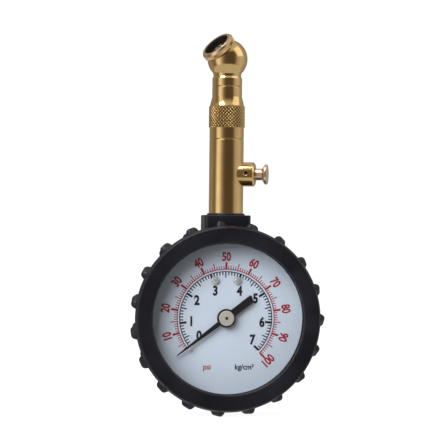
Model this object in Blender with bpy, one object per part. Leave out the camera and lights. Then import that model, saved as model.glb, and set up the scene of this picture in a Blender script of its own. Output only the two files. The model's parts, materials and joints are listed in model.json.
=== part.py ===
"""A dial tyre-pressure gauge: rubber-booted dial, brass stem with a bleed button, swivelling chuck.

Units are metres.  In the world +Z runs up the stem, the dial faces -Y, the bleed button points to
+X, and the origin is the centre of the boot's flat back, on the dial's axis.

Dial pieces are drawn as seen from the front: u to the right, v up, w towards the reader, with
w = 0 at the boot's back.  Stem pieces are turned about the stem's axis, with their heights above
the dial's axis.  The valve and the chuck each have a frame whose local Z is their own axis.
"""
import bpy
import bmesh
from math import acos, asin, atan2, cos, pi, radians, sin, tan
from mathutils import Matrix, Vector

MM = 0.001
TURN = 2 * pi

# ---------------------------------------------------------------- driving dimensions
CASE_RADIUS = 26.8 * MM
CASE_WALL = 1.0 * MM
CASE_FLOOR = 1.2 * MM
BOOT_DEPTH = 27.0 * MM
BOOT_FLOOR = 3.0 * MM
BOOT_WALL = 3.55 * MM
BOOT_TAPER = 1.8 * MM
LIP_THICKNESS = 2.4 * MM
LIP_OVERHANG = 1.95 * MM
LIP_DISH = 0.5 * MM
LUG_COUNT = 19
LUG_LENGTH = 6.6 * MM
LUG_WIDTH = 2.8 * MM
LUG_HEIGHT = 1.7 * MM
BACK_LUG_HEIGHT = 1.2 * MM
LUG_FIRST = radians(94)
LUG_SLANT = radians(40)
LUG_INSET = 4.6 * MM
NECK_WIDTH = 15.2 * MM
NECK_DEPTH = 15.0 * MM
NECK_RISE = 3.45 * MM
NECK_LIP = 0.6 * MM
NECK_LIP_WALL = 0.55 * MM

DIAL_SINK = 9.0 * MM
DIAL_THICKNESS = 0.6 * MM
LENS_THICKNESS = 2.2 * MM
GASKET_HEIGHT = 0.8 * MM
BEZEL_THICKNESS = 0.55 * MM
BEZEL_SKIRT = 4.6 * MM
BEZEL_OVERHANG = 0.3 * MM

POINTER_LENGTH = 20.6 * MM
POINTER_TAIL = 11.2 * MM
POINTER_THICKNESS = 0.4 * MM
BLADE_HALF_WIDTH = 0.8 * MM
TAIL_HALF_WIDTH = 1.28 * MM
POINTER_REST = radians(217.5)
BOSS_RADIUS = 3.1 * MM
CAP_RADIUS = 2.5 * MM
STOP_PIN_REACH = 15.7 * MM
STOP_PIN_RADIUS = 0.5 * MM
DIAL_SCREW_REACH = 12.9 * MM
DIAL_SCREW_SPREAD = radians(16.5)
SCREW_HEAD_RADIUS = 1.37 * MM
SCREW_SHANK_RADIUS = 0.8 * MM

PINION_TEETH = 12
SECTOR_TEETH = 120
SECTOR_TEETH_CUT = 11
GEAR_MODULE = 0.2 * MM
GEAR_WIDTH = 0.8 * MM
GEAR_BACKLASH = 0.05 * MM
POINTER_SWING = radians(262.5)
ARBOR_RADIUS = 0.6 * MM
SECTOR_TAIL = 5.0 * MM
LINK_PIN_RADIUS = 0.45 * MM
LINK_SLACK = 0.16 * MM
PLATE_THICKNESS = 1.0 * MM
PILLAR_RADIUS = 0.9 * MM

BOURDON_RADIUS = 17.5 * MM
BOURDON_START = radians(103)
BOURDON_THICKNESS = 1.8 * MM
BOURDON_WIDTH = 6.0 * MM
BOURDON_WALL = 0.4 * MM
TIP_PIN_INSET = 2.7 * MM
TIP_PIN_RISE = 1.2 * MM

BLOCK_WIDTH = 11.0 * MM
BLOCK_FOOT = 9.0 * MM
TONGUE_LENGTH = 5.4 * MM

STEM_SINK = 12.5 * MM
STEM_RADIUS = 5.7 * MM
STEM_LENGTH = 30.8 * MM
STEM_BORE = 3.0 * MM
THREAD_RADIUS = STEM_RADIUS - 1.2 * MM
THREAD_LENGTH = 7.0 * MM
WASHER_HEIGHT = 1.0 * MM
WASHER_RADIUS = THREAD_RADIUS + 0.95 * MM
NIPPLE_RADIUS = STEM_RADIUS - 1.5 * MM
NIPPLE_LENGTH = 4.1 * MM
VALVE_DROP = 11.5 * MM

COLLAR_LENGTH = 3.65 * MM
KNURL_RADIUS = STEM_RADIUS + 0.25 * MM
KNURL_LENGTH = 7.3 * MM
TAPER_LENGTH = 2.95 * MM
SLEEVE_NECK_RADIUS = STEM_RADIUS - 0.75 * MM
SLEEVE_NECK_LENGTH = 3.4 * MM

SPINDLE_RADIUS = NIPPLE_RADIUS - 0.9 * MM
SPINDLE_GAP = 1.25 * MM
HEAD_COLLAR = 2.55 * MM
HEAD_BEVEL = 0.8 * MM
BALL_RADIUS = 6.65 * MM
BALL_RISE = BALL_RADIUS + 2.4 * MM
CHUCK_TILT = radians(45)
CHUCK_TURN = radians(209)
CHUCK_LENGTH = 4.0 * MM
CHUCK_BORE = 4.45 * MM
RING_RADIUS = CHUCK_BORE + 1.4 * MM
RING_BORE = CHUCK_BORE - 0.05 * MM
RING_THICKNESS = 2.55 * MM
DEPRESSOR_RADIUS = 1.5 * MM
AIR_WAY = 1.1 * MM

VALVE_TURN = radians(15.5)
BUTTON_STEM_RADIUS = 1.95 * MM
VALVE_BORE = BUTTON_STEM_RADIUS + 0.2 * MM
VALVE_RADIUS = VALVE_BORE + 1.85 * MM
VALVE_REACH = STEM_RADIUS + 3.95 * MM
VENT_RADIUS = 0.7 * MM
BUTTON_RADIUS = BUTTON_STEM_RADIUS + 1.4 * MM
BUTTON_REACH = VALVE_REACH + 4.15 * MM
BUTTON_TRAVEL = 1.5 * MM

# Clearances: a sliding or turning fit, a face laid on a face, and a thin seam that shows.
FIT = 0.1 * MM
REST = 0.2 * MM
SEAM = 0.15 * MM

# Sides of a round piece: the case, the stem, a middling piece, a pin.
LARGE = 40
ROUND = 28
MEDIUM = 20
SMALL = 10

# ---------------------------------------------------------------- levels worked out from them
CASE_INNER = CASE_RADIUS - CASE_WALL
CASE_MOUTH_RADIUS = CASE_RADIUS - CASE_WALL / 2
BOOT_INNER = CASE_RADIUS + SEAM
BEZEL_RADIUS = CASE_RADIUS + SEAM + BEZEL_THICKNESS
BOOT_GROOVE = BEZEL_RADIUS + SEAM
BOOT_RADIUS = BOOT_INNER + BOOT_WALL
LIP_RADIUS = CASE_RADIUS - LIP_OVERHANG

STEM_W = BOOT_DEPTH - STEM_SINK
LIP_BACK = BOOT_DEPTH - LIP_THICKNESS
BEZEL_FRONT = LIP_BACK - FIT
BEZEL_BACK = BEZEL_FRONT - BEZEL_THICKNESS
SKIRT_BACK = max(BEZEL_FRONT - BEZEL_SKIRT, STEM_W + WASHER_RADIUS + FIT)
CASE_MOUTH = BEZEL_BACK - FIT
LENS_FRONT = BEZEL_BACK - SEAM
LENS_BACK = LENS_FRONT - LENS_THICKNESS
GASKET_FRONT = LENS_BACK - FIT
GASKET_BACK = GASKET_FRONT - GASKET_HEIGHT
CASE_LEDGE = GASKET_BACK - FIT
CASE_BACK = BOOT_FLOOR + REST

DIAL_FRONT = BOOT_DEPTH - DIAL_SINK
DIAL_BACK = DIAL_FRONT - DIAL_THICKNESS
DIAL_RADIUS = CASE_INNER - 0.25 * MM
POINTER_BACK = DIAL_FRONT + 1.2 * MM
POINTER_FRONT = POINTER_BACK + POINTER_THICKNESS
BOSS_FRONT = POINTER_FRONT + 0.7 * MM

FRONT_PLATE_TOP = DIAL_BACK - 0.6 * MM
FRONT_PLATE_LOW = FRONT_PLATE_TOP - PLATE_THICKNESS
HAIRSPRING_TOP = FRONT_PLATE_LOW - 0.4 * MM
HAIRSPRING_LOW = HAIRSPRING_TOP - 0.4 * MM
GEAR_TOP = HAIRSPRING_LOW - 0.3 * MM
GEAR_LOW = GEAR_TOP - GEAR_WIDTH
LINK_TOP = GEAR_LOW - 0.4 * MM
LINK_LOW = LINK_TOP - 0.6 * MM
BACK_PLATE_TOP = LINK_LOW - 1.3 * MM
BACK_PLATE_LOW = BACK_PLATE_TOP - PLATE_THICKNESS
TONGUE_FRONT = BACK_PLATE_LOW - 0.3 * MM
BLOCK_FRONT = DIAL_BACK - REST
BLOCK_BACK = TONGUE_FRONT - 1.8 * MM
BOURDON_MID = (GEAR_TOP + LINK_LOW) / 2 - 0.8 * MM
BOURDON_TOP = BOURDON_MID + BOURDON_WIDTH / 2
BOURDON_LOW = BOURDON_MID - BOURDON_WIDTH / 2

SECTOR_RADIUS = GEAR_MODULE * SECTOR_TEETH / 2
PINION_RADIUS = GEAR_MODULE * PINION_TEETH / 2
SECTOR_PIVOT = Vector((0, -(SECTOR_RADIUS + PINION_RADIUS), 0))
SECTOR_SWING = POINTER_SWING * PINION_TEETH / SECTOR_TEETH
BLOCK_TOP = CASE_INNER - 1.4 * MM

WASHER_LOW = CASE_RADIUS + 0.3 * MM
STEM_BOTTOM = WASHER_LOW + WASHER_HEIGHT + FIT
STEM_TOP = STEM_BOTTOM + STEM_LENGTH
NECK_TOP = BOOT_RADIUS + NECK_RISE
THREAD_TOP = STEM_BOTTOM + THREAD_LENGTH
VALVE_HEIGHT = STEM_TOP - VALVE_DROP
SLEEVE_LOW = STEM_TOP + SEAM
KNURL_LOW = SLEEVE_LOW + COLLAR_LENGTH
KNURL_TOP = KNURL_LOW + KNURL_LENGTH
TAPER_TOP = KNURL_TOP + TAPER_LENGTH
SLEEVE_TOP = TAPER_TOP + SLEEVE_NECK_LENGTH
HEAD_LOW = SLEEVE_TOP + SEAM
BALL_HEIGHT = HEAD_LOW + BALL_RISE
SPINDLE_BOTTOM = STEM_TOP + NIPPLE_LENGTH + SPINDLE_GAP


# ---------------------------------------------------------------- frames
def frame_along(direction, up, origin):
    """A frame whose local Z is the direction and whose local Y leans towards up."""
    z_axis = Vector(direction).normalized()
    x_axis = Vector(up).cross(z_axis).normalized()
    y_axis = z_axis.cross(x_axis)
    turn = Matrix((x_axis, y_axis, z_axis)).transposed().to_4x4()
    return Matrix.Translation(origin) @ turn


DIAL_FRAME = frame_along((0, -1, 0), (0, 0, 1), (0, 0, 0))
STEM_FRAME = Matrix.Translation((0, -STEM_W, 0))
VALVE_AXIS = Vector((cos(VALVE_TURN), -sin(VALVE_TURN), 0))
VALVE_FRAME = frame_along(VALVE_AXIS, (0, 0, 1), (0, -STEM_W, VALVE_HEIGHT))
CHUCK_LEVEL = Vector((cos(CHUCK_TURN), sin(CHUCK_TURN), 0))
CHUCK_AXIS = CHUCK_LEVEL * cos(CHUCK_TILT) + Vector((0, 0, sin(CHUCK_TILT)))
CHUCK_FRAME = frame_along(CHUCK_AXIS, (0, 0, 1), (0, -STEM_W, BALL_HEIGHT))


# ---------------------------------------------------------------- scene and materials
def clear_scene():
    for item in list(bpy.data.objects):
        bpy.data.objects.remove(item)


def material(name, colour, roughness, metallic=0.0, alpha=1.0):
    made = bpy.data.materials.new(name)
    made.use_nodes = True
    shader = made.node_tree.nodes["Principled BSDF"]
    shader.inputs["Base Color"].default_value = (*colour, 1)
    shader.inputs["Roughness"].default_value = roughness
    shader.inputs["Metallic"].default_value = metallic
    shader.inputs["Alpha"].default_value = alpha
    made.diffuse_color = (*colour, alpha)
    return made


clear_scene()
RUBBER = material("boot_rubber", (0.012, 0.013, 0.015), 0.55)
SEAL_RUBBER = material("seal_rubber", (0.02, 0.02, 0.02), 0.7)
BLACK_STEEL = material("black_steel", (0.02, 0.02, 0.022), 0.35, 0.4)
CLEAR = material("clear_plastic", (0.95, 0.97, 1.0), 0.05, 0.0, 0.15)
DIAL_WHITE = material("dial_white", (0.85, 0.88, 0.93), 0.45)
POINTER_BLACK = material("pointer_black", (0.01, 0.01, 0.012), 0.4)
BRASS = material("brass", (0.78, 0.57, 0.27), 0.2, 1.0)
ROSE_BRASS = material("rose_brass", (0.8, 0.55, 0.4), 0.22, 1.0)
STEEL = material("steel", (0.62, 0.62, 0.62), 0.3, 1.0)
BRONZE = material("phosphor_bronze", (0.7, 0.42, 0.2), 0.3, 1.0)
NYLON = material("nylon", (0.8, 0.78, 0.7), 0.5)


# ---------------------------------------------------------------- mesh tools
def add_object(name, bm, finish, frame, pivot=(0, 0, 0), sharp=30):
    """Turns a mesh drawn in a frame's coordinates into an object with its origin at the pivot."""
    bmesh.ops.recalc_face_normals(bm, faces=bm.faces)
    mesh = bpy.data.meshes.new(name)
    bm.to_mesh(mesh)
    bm.free()
    mesh.transform(Matrix.Translation(-Vector(pivot)))
    mesh.materials.append(finish)
    mesh.shade_smooth()
    mesh.set_sharp_from_angle(angle=radians(sharp))
    made = bpy.data.objects.new(name, mesh)
    bpy.context.scene.collection.objects.link(made)
    made.matrix_world = frame @ Matrix.Translation(pivot)
    return made


def turned(profile, segments=ROUND, centre=(0, 0)):
    """Revolves a closed outline of (radius, height) points about local Z."""
    bm = bmesh.new()
    rings = []
    for radius, height in profile:
        if radius < 1e-9:
            rings.append([bm.verts.new((centre[0], centre[1], height))])
            continue
        ring = []
        for step in range(segments):
            angle = TURN * step / segments
            across = centre[0] + radius * cos(angle)
            up = centre[1] + radius * sin(angle)
            ring.append(bm.verts.new((across, up, height)))
        rings.append(ring)
    for low, high in zip(rings, rings[1:] + rings[:1]):
        if len(low) == 1 and len(high) == 1:
            continue
        for step in range(segments):
            following = (step + 1) % segments
            if len(low) == 1:
                bm.faces.new((low[0], high[following], high[step]))
            elif len(high) == 1:
                bm.faces.new((low[step], low[following], high[0]))
            else:
                bm.faces.new((low[step], low[following], high[following], high[step]))
    return bm


def rod(radius, low, high, segments=SMALL, centre=(0, 0)):
    return turned([(0, low), (radius, low), (radius, high), (0, high)], segments, centre)


def collar(inner, outer, low, high, segments=SMALL, centre=(0, 0)):
    return turned([(inner, low), (outer, low), (outer, high), (inner, high)], segments, centre)


def o_ring(radius, thickness, height, segments=MEDIUM, sides=6):
    profile = []
    for step in range(sides):
        angle = TURN * (step + 0.5) / sides
        profile.append((radius + thickness / 2 * cos(angle), height + thickness / 2 * sin(angle)))
    return turned(profile, segments)


def prism(outline, low, high):
    """Extrudes a flat outline of (u, v) points from one level to another."""
    bm = bmesh.new()
    floor = [bm.verts.new((u, v, low)) for u, v in outline]
    roof = [bm.verts.new((u, v, high)) for u, v in outline]
    bm.faces.new(floor)
    bm.faces.new(roof)
    for step in range(len(outline)):
        following = (step + 1) % len(outline)
        bm.faces.new((floor[step], floor[following], roof[following], roof[step]))
    return bm


def block(u_range, v_range, w_range):
    (u0, u1), (v0, v1), (w0, w1) = u_range, v_range, w_range
    return prism([(u0, v0), (u1, v0), (u1, v1), (u0, v1)], w0, w1)


def arc(centre, radius, start, end, steps):
    """Points along an arc, both ends included."""
    points = []
    for step in range(steps + 1):
        angle = start + (end - start) * step / steps
        points.append((centre[0] + radius * cos(angle), centre[1] + radius * sin(angle)))
    return points


def capsule(first, second, radius, steps=6):
    """The outline of a bar with round ends at two points."""
    heading = atan2(second[1] - first[1], second[0] - first[0])
    outline = arc(second, radius, heading - pi / 2, heading + pi / 2, steps)
    return outline + arc(first, radius, heading + pi / 2, heading + 3 * pi / 2, steps)


def tool(bm, frame, pivot=(0, 0, 0)):
    """A passing object that only cuts or joins another one."""
    made = add_object("tool", bm, BRASS, frame, pivot)
    made.hide_render = True
    made.display_type = 'WIRE'
    return made


def apply_tools(target, meshes, operation, frame):
    """Cuts or joins meshes drawn in a frame, one Boolean modifier each, and keeps the result."""
    tools = [tool(bm, frame) for bm in meshes]
    for item in tools:
        modifier = target.modifiers.new(operation, 'BOOLEAN')
        modifier.operation = operation
        modifier.solver = 'EXACT'
        modifier.object = item
    bpy.context.view_layer.update()
    graph = bpy.context.evaluated_depsgraph_get()
    result = bpy.data.meshes.new_from_object(target.evaluated_get(graph))
    target.modifiers.clear()
    target.data = result
    result.name = target.name
    result.set_sharp_from_angle(angle=radians(30))
    for item in tools:
        bpy.data.objects.remove(item)
    return target


def cut(target, meshes, frame):
    return apply_tools(target, meshes, 'DIFFERENCE', frame)


def join(target, meshes, frame):
    return apply_tools(target, meshes, 'UNION', frame)


def polar(reach, angle):
    return (reach * cos(angle), reach * sin(angle))


# ---------------------------------------------------------------- boot, case and window
def wall_radius(level):
    """The boot's side leans in a little towards the back."""
    return BOOT_RADIUS - BOOT_TAPER * (1 - level / BOOT_DEPTH)


def make_boot():
    face = BOOT_DEPTH - LIP_DISH
    step = SKIRT_BACK - SEAM
    profile = [
        (0, 0),
        (wall_radius(0) - 2.6 * MM, 0),
        (wall_radius(0) - 0.8 * MM, 0.8 * MM),
        (wall_radius(3.0 * MM), 3.0 * MM),
        (wall_radius(BOOT_DEPTH / 2), BOOT_DEPTH / 2),
        (BOOT_RADIUS, BOOT_DEPTH - 2.4 * MM),
        (BOOT_RADIUS - 0.2 * MM, BOOT_DEPTH - 0.8 * MM),
        (BOOT_RADIUS - 0.9 * MM, BOOT_DEPTH - 0.1 * MM),
        (BOOT_RADIUS - 1.5 * MM, BOOT_DEPTH),
        (LIP_RADIUS + 0.5 * MM, face),
        (LIP_RADIUS, face - 0.5 * MM),
        (LIP_RADIUS, LIP_BACK),
        (BOOT_GROOVE, LIP_BACK),
        (BOOT_GROOVE, step),
        (BOOT_INNER, step),
        (BOOT_INNER, BOOT_FLOOR),
        (0, BOOT_FLOOR),
    ]
    boot = add_object("rubber_boot", turned(profile, 2 * LUG_COUNT), RUBBER, DIAL_FRAME)
    join(boot, [neck_block(), lug_rows()], DIAL_FRAME)
    join(boot, [rod(neck_lip_radius(), NECK_TOP - MM, NECK_TOP + NECK_LIP, ROUND)], STEM_FRAME)
    bore = rod(STEM_RADIUS + FIT / 2, CASE_INNER, NECK_TOP + NECK_LIP + MM, ROUND)
    cut(boot, [bore], STEM_FRAME)
    return boot


def neck_lip_radius():
    return STEM_RADIUS + FIT / 2 + NECK_LIP_WALL


def neck_block():
    """The rubber block round the foot of the stem; its bottom lies inside the boot's wall."""
    corner = 1.2 * MM
    half = NECK_WIDTH / 2
    near = STEM_W + NECK_DEPTH / 2 - 0.5 * MM
    far = near - NECK_DEPTH
    outline = []
    corners = ((half, near), (-half, near), (-half, far), (half, far))
    for quarter, (u, w) in enumerate(corners):
        start = quarter * pi / 2
        centre = (u - corner if u > 0 else u + corner, w - corner if w == near else w + corner)
        outline += arc(centre, corner, start, start + pi / 2, 3)
    bm = prism(outline, BOOT_GROOVE + 0.5 * MM, NECK_TOP)
    upright = Matrix(((1, 0, 0, 0), (0, 0, 1, 0), (0, 1, 0, 0), (0, 0, 0, 1)))
    bm.transform(upright)
    return bm


def lug_rows():
    """Slanted oval tread lugs in two mirrored rows, one behind the rim and one before the back."""
    sunk = 0.5 * MM
    rows = bmesh.new()
    front = (BOOT_DEPTH - LUG_INSET, LUG_HEIGHT, LUG_SLANT)
    back = (LUG_INSET, BACK_LUG_HEIGHT, -LUG_SLANT)
    for level, height, slant in (front, back):
        for index in range(LUG_COUNT):
            angle = LUG_FIRST + TURN * index / LUG_COUNT
            behind_neck = abs(cos(angle)) * BOOT_RADIUS < NECK_WIDTH / 2 and sin(angle) > 0
            if behind_neck and level < BOOT_DEPTH / 2:
                continue
            size = Matrix.Diagonal((LUG_WIDTH / 2, LUG_LENGTH / 2, height + sunk, 1))
            lean = Matrix.Rotation(slant, 4, 'Z')
            outward = frame_along((cos(angle), sin(angle), 0), (0, 0, 1), (0, 0, 0))
            seat = Vector((*polar(wall_radius(level) - sunk, angle), level))
            place = Matrix.Translation(seat) @ outward @ lean @ size
            bmesh.ops.create_uvsphere(rows, u_segments=8, v_segments=4, radius=1, matrix=place)
    return rows


def make_case():
    profile = [
        (0, CASE_BACK),
        (CASE_RADIUS - 1.2 * MM, CASE_BACK),
        (CASE_RADIUS, CASE_BACK + 1.2 * MM),
        (CASE_RADIUS, CASE_MOUTH),
        (CASE_MOUTH_RADIUS, CASE_MOUTH),
        (CASE_MOUTH_RADIUS, CASE_LEDGE),
        (CASE_INNER, CASE_LEDGE),
        (CASE_INNER, CASE_BACK + CASE_FLOOR),
        (0, CASE_BACK + CASE_FLOOR),
    ]
    case = add_object("gauge_case", turned(profile, LARGE), BLACK_STEEL, DIAL_FRAME)
    cut(case, [rod(THREAD_RADIUS + FIT, BLOCK_TOP - MM, CASE_RADIUS + MM, MEDIUM)], STEM_FRAME)
    return case


def make_window():
    flange = LIP_RADIUS - BEZEL_OVERHANG
    bezel = [
        (flange, BEZEL_BACK),
        (flange, BEZEL_FRONT - 0.2 * MM),
        (flange + 0.2 * MM, BEZEL_FRONT),
        (BEZEL_RADIUS - 0.4 * MM, BEZEL_FRONT),
        (BEZEL_RADIUS, BEZEL_FRONT - 0.4 * MM),
        (BEZEL_RADIUS, SKIRT_BACK),
        (CASE_RADIUS + SEAM, SKIRT_BACK),
        (CASE_RADIUS + SEAM, BEZEL_BACK),
    ]
    add_object("bezel_ring", turned(bezel, LARGE), BLACK_STEEL, DIAL_FRAME)
    edge = CASE_MOUTH_RADIUS - FIT
    bevel = 0.3 * MM
    lens = [
        (0, LENS_BACK),
        (edge, LENS_BACK),
        (edge, LENS_FRONT - bevel),
        (edge - bevel, LENS_FRONT),
        (0, LENS_FRONT),
    ]
    add_object("lens", turned(lens, LARGE), CLEAR, DIAL_FRAME)
    gasket = collar(CASE_INNER, CASE_MOUTH_RADIUS - FIT, GASKET_BACK, GASKET_FRONT, LARGE)
    add_object("lens_gasket", gasket, SEAL_RUBBER, DIAL_FRAME)


# ---------------------------------------------------------------- dial and pointer
def dial_screw_places():
    return {
        "left": polar(DIAL_SCREW_REACH, pi / 2 + DIAL_SCREW_SPREAD),
        "right": polar(DIAL_SCREW_REACH, pi / 2 - DIAL_SCREW_SPREAD),
    }


def stop_pin_place():
    """The pin lies just below the resting pointer, so that the blade leans on it."""
    half_blade = 0.56 * BLADE_HALF_WIDTH
    lead = asin((STOP_PIN_RADIUS + half_blade + FIT) / STOP_PIN_REACH)
    return polar(STOP_PIN_REACH, POINTER_REST + lead)


def make_dial():
    plate = rod(DIAL_RADIUS, DIAL_BACK, DIAL_FRONT, LARGE)
    dial = add_object("dial_plate", plate, DIAL_WHITE, DIAL_FRAME)
    holes = [rod(ARBOR_RADIUS + 0.6 * MM, DIAL_BACK - MM, DIAL_FRONT + MM)]
    holes.append(rod(STOP_PIN_RADIUS + FIT, DIAL_BACK - MM, DIAL_FRONT + MM, SMALL, stop_pin_place()))
    for place in dial_screw_places().values():
        holes.append(rod(SCREW_SHANK_RADIUS + FIT, DIAL_BACK - MM, DIAL_FRONT + MM, SMALL, place))
    cut(dial, holes, DIAL_FRAME)
    pin = [
        (0, DIAL_BACK + FIT),
        (STOP_PIN_RADIUS, DIAL_BACK + FIT),
        (STOP_PIN_RADIUS, POINTER_FRONT),
        (STOP_PIN_RADIUS - 0.2 * MM, POINTER_FRONT + 0.2 * MM),
        (0, POINTER_FRONT + 0.2 * MM),
    ]
    add_object("pointer_stop_pin", turned(pin, SMALL, stop_pin_place()), STEEL, DIAL_FRAME)
    for side, place in dial_screw_places().items():
        make_screw("dial_screw_" + side, place, DIAL_FRONT + FIT, 5.5 * MM, SCREW_HEAD_RADIUS)


def make_screw(name, place, seat, length, head_radius):
    """A slotted pan-head screw seated at a level, its shank pointing away from the reader."""
    head = 0.6 * head_radius
    profile = [
        (0, seat - length),
        (SCREW_SHANK_RADIUS - 0.15 * MM, seat - length),
        (SCREW_SHANK_RADIUS, seat - length + 0.3 * MM),
        (SCREW_SHANK_RADIUS, seat),
        (head_radius, seat),
        (head_radius, seat + 0.55 * head),
        (0.75 * head_radius, seat + head),
        (0, seat + head),
    ]
    screw = add_object(name, turned(profile, SMALL, place), STEEL, DIAL_FRAME)
    width = 0.22 * head_radius
    slot = block(
        (place[0] - 2 * head_radius, place[0] + 2 * head_radius),
        (place[1] - width, place[1] + width),
        (seat + 0.55 * head, seat + 2 * head),
    )
    cut(screw, [slot], DIAL_FRAME)


def make_pointer():
    """Blade, tail and boss in one solid, with a bright cap on the boss; both turn together."""
    neck = BOSS_RADIUS * 0.9
    tip_half = 0.17 * MM
    blade = [
        (neck, BLADE_HALF_WIDTH),
        (-neck, 0.92 * TAIL_HALF_WIDTH),
        (-POINTER_TAIL + MM, TAIL_HALF_WIDTH),
        (-POINTER_TAIL, 0.4 * MM - TAIL_HALF_WIDTH),
        (-POINTER_TAIL + 0.5 * MM, -TAIL_HALF_WIDTH),
        (-neck, -0.92 * TAIL_HALF_WIDTH),
        (neck, -BLADE_HALF_WIDTH),
        (POINTER_LENGTH - 0.4 * MM, -tip_half),
        (POINTER_LENGTH, 0),
        (POINTER_LENGTH - 0.4 * MM, tip_half),
    ]
    bm = prism(blade, POINTER_BACK, POINTER_FRONT)
    bm.transform(Matrix.Rotation(POINTER_REST, 4, 'Z'))
    pointer = add_object("pointer", bm, POINTER_BLACK, DIAL_FRAME)
    boss = [
        (0, POINTER_BACK - 0.4 * MM),
        (1.6 * MM, POINTER_BACK - 0.4 * MM),
        (BOSS_RADIUS, POINTER_BACK),
        (BOSS_RADIUS, BOSS_FRONT - 0.3 * MM),
        (BOSS_RADIUS - 0.3 * MM, BOSS_FRONT),
        (0, BOSS_FRONT),
    ]
    join(pointer, [turned(boss, MEDIUM)], DIAL_FRAME)
    cut(pointer, [rod(ARBOR_RADIUS + FIT, POINTER_BACK - MM, BOSS_FRONT + MM)], DIAL_FRAME)
    low, high = BOSS_FRONT + FIT, BOSS_FRONT + 0.55 * MM
    cap = [
        (0, low),
        (CAP_RADIUS, low),
        (CAP_RADIUS, high - 0.15 * MM),
        (CAP_RADIUS - 0.15 * MM, high),
        (0.4 * MM, high),
        (0, high - 0.2 * MM),
    ]
    add_object("pointer_cap", turned(cap, MEDIUM), STEEL, DIAL_FRAME)


# ---------------------------------------------------------------- gear teeth
def tooth_half_angle(radius, teeth):
    """Half the angle that an involute tooth fills at a radius, thinned by the backlash."""
    pressure = radians(20)
    pitch = GEAR_MODULE * teeth / 2
    base = pitch * cos(pressure)
    at_pitch = pi / (2 * teeth) - GEAR_BACKLASH / (2 * pitch)
    at_radius = acos(min(1.0, base / radius))
    return at_pitch + (tan(pressure) - pressure) - (tan(at_radius) - at_radius)


def toothed_edge(teeth, first, count):
    """The outline over some teeth, from the tooth centred on an angle onwards."""
    pitch = GEAR_MODULE * teeth / 2
    root, tip = pitch - 1.35 * GEAR_MODULE, pitch + 0.85 * GEAR_MODULE
    flank = [root, pitch - 0.1 * GEAR_MODULE, tip]
    points = []
    for index in range(count):
        centre = first + TURN * index / teeth
        points += [polar(radius, centre - tooth_half_angle(radius, teeth)) for radius in flank]
        for radius in reversed(flank):
            points.append(polar(radius, centre + tooth_half_angle(radius, teeth)))
    return points


def sector_rest_angle():
    """The sector's middle starts half its swing to the right of the line of centres."""
    return pi / 2 - SECTOR_SWING / 2


def pinion_phase():
    """Where a pinion tooth is centred, so that a gap meets the sector's tooth."""
    pitch_angle = TURN / SECTOR_TEETH
    past = ((pi / 2 - sector_rest_angle()) / pitch_angle) % 1
    gap = -pi / 2 + past * pitch_angle * SECTOR_TEETH / PINION_TEETH
    return gap + pi / PINION_TEETH


# ---------------------------------------------------------------- movement
def make_pinion():
    teeth = toothed_edge(PINION_TEETH, pinion_phase(), PINION_TEETH)
    wide = 0.1 * MM
    leaves = prism(teeth, GEAR_LOW - wide, GEAR_TOP + wide)
    arbor = add_object("pinion_arbor", leaves, STEEL, DIAL_FRAME)
    join(arbor, [rod(ARBOR_RADIUS, BACK_PLATE_LOW - 0.1 * MM, BOSS_FRONT - 0.1 * MM)], DIAL_FRAME)
    low = GEAR_TOP + wide + 0.05 * MM
    ring = collar(ARBOR_RADIUS + 0.05 * MM, ARBOR_RADIUS + 0.35 * MM, low, HAIRSPRING_TOP + 0.2 * MM)
    add_object("hairspring_collet", ring, BRASS, DIAL_FRAME)


def stud_place():
    return (0, 3.6 * MM)


def make_hairspring():
    """A flat spiral from just outside the collet to just inside the stud."""
    half = 0.06 * MM
    inner = ARBOR_RADIUS + 0.35 * MM + FIT + half
    outer = stud_place()[1] - 0.5 * MM - FIT - half
    turns, steps = 3.5, 49
    bm = bmesh.new()
    rings = []
    for step in range(steps + 1):
        share = step / steps
        angle = pi / 2 - TURN * turns * (1 - share)
        middle = inner + (outer - inner) * share
        corners = ((middle - half, HAIRSPRING_LOW), (middle + half, HAIRSPRING_LOW),
                   (middle + half, HAIRSPRING_TOP), (middle - half, HAIRSPRING_TOP))
        rings.append([bm.verts.new((*polar(reach, angle), level)) for reach, level in corners])
    close_sweep(bm, rings)
    add_object("hairspring", bm, BRONZE, DIAL_FRAME)
    post = rod(0.5 * MM, BACK_PLATE_TOP + FIT, HAIRSPRING_TOP + 0.1 * MM, SMALL, stud_place())
    add_object("hairspring_stud", post, BRASS, DIAL_FRAME)


def close_sweep(bm, rings):
    for low, high in zip(rings, rings[1:]):
        for step in range(len(low)):
            following = (step + 1) % len(low)
            bm.faces.new((low[step], low[following], high[following], high[step]))
    bm.faces.new(rings[0])
    bm.faces.new(rings[-1])


def tail_place():
    """The link's pin on the sector's tail, seen from the sector's pivot."""
    return polar(SECTOR_TAIL, -SECTOR_SWING / 2)


def tip_place():
    """The link's pin on the Bourdon tube's tip, in the dial frame."""
    return (BOURDON_RADIUS - TIP_PIN_INSET, TIP_PIN_RISE)


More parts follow.
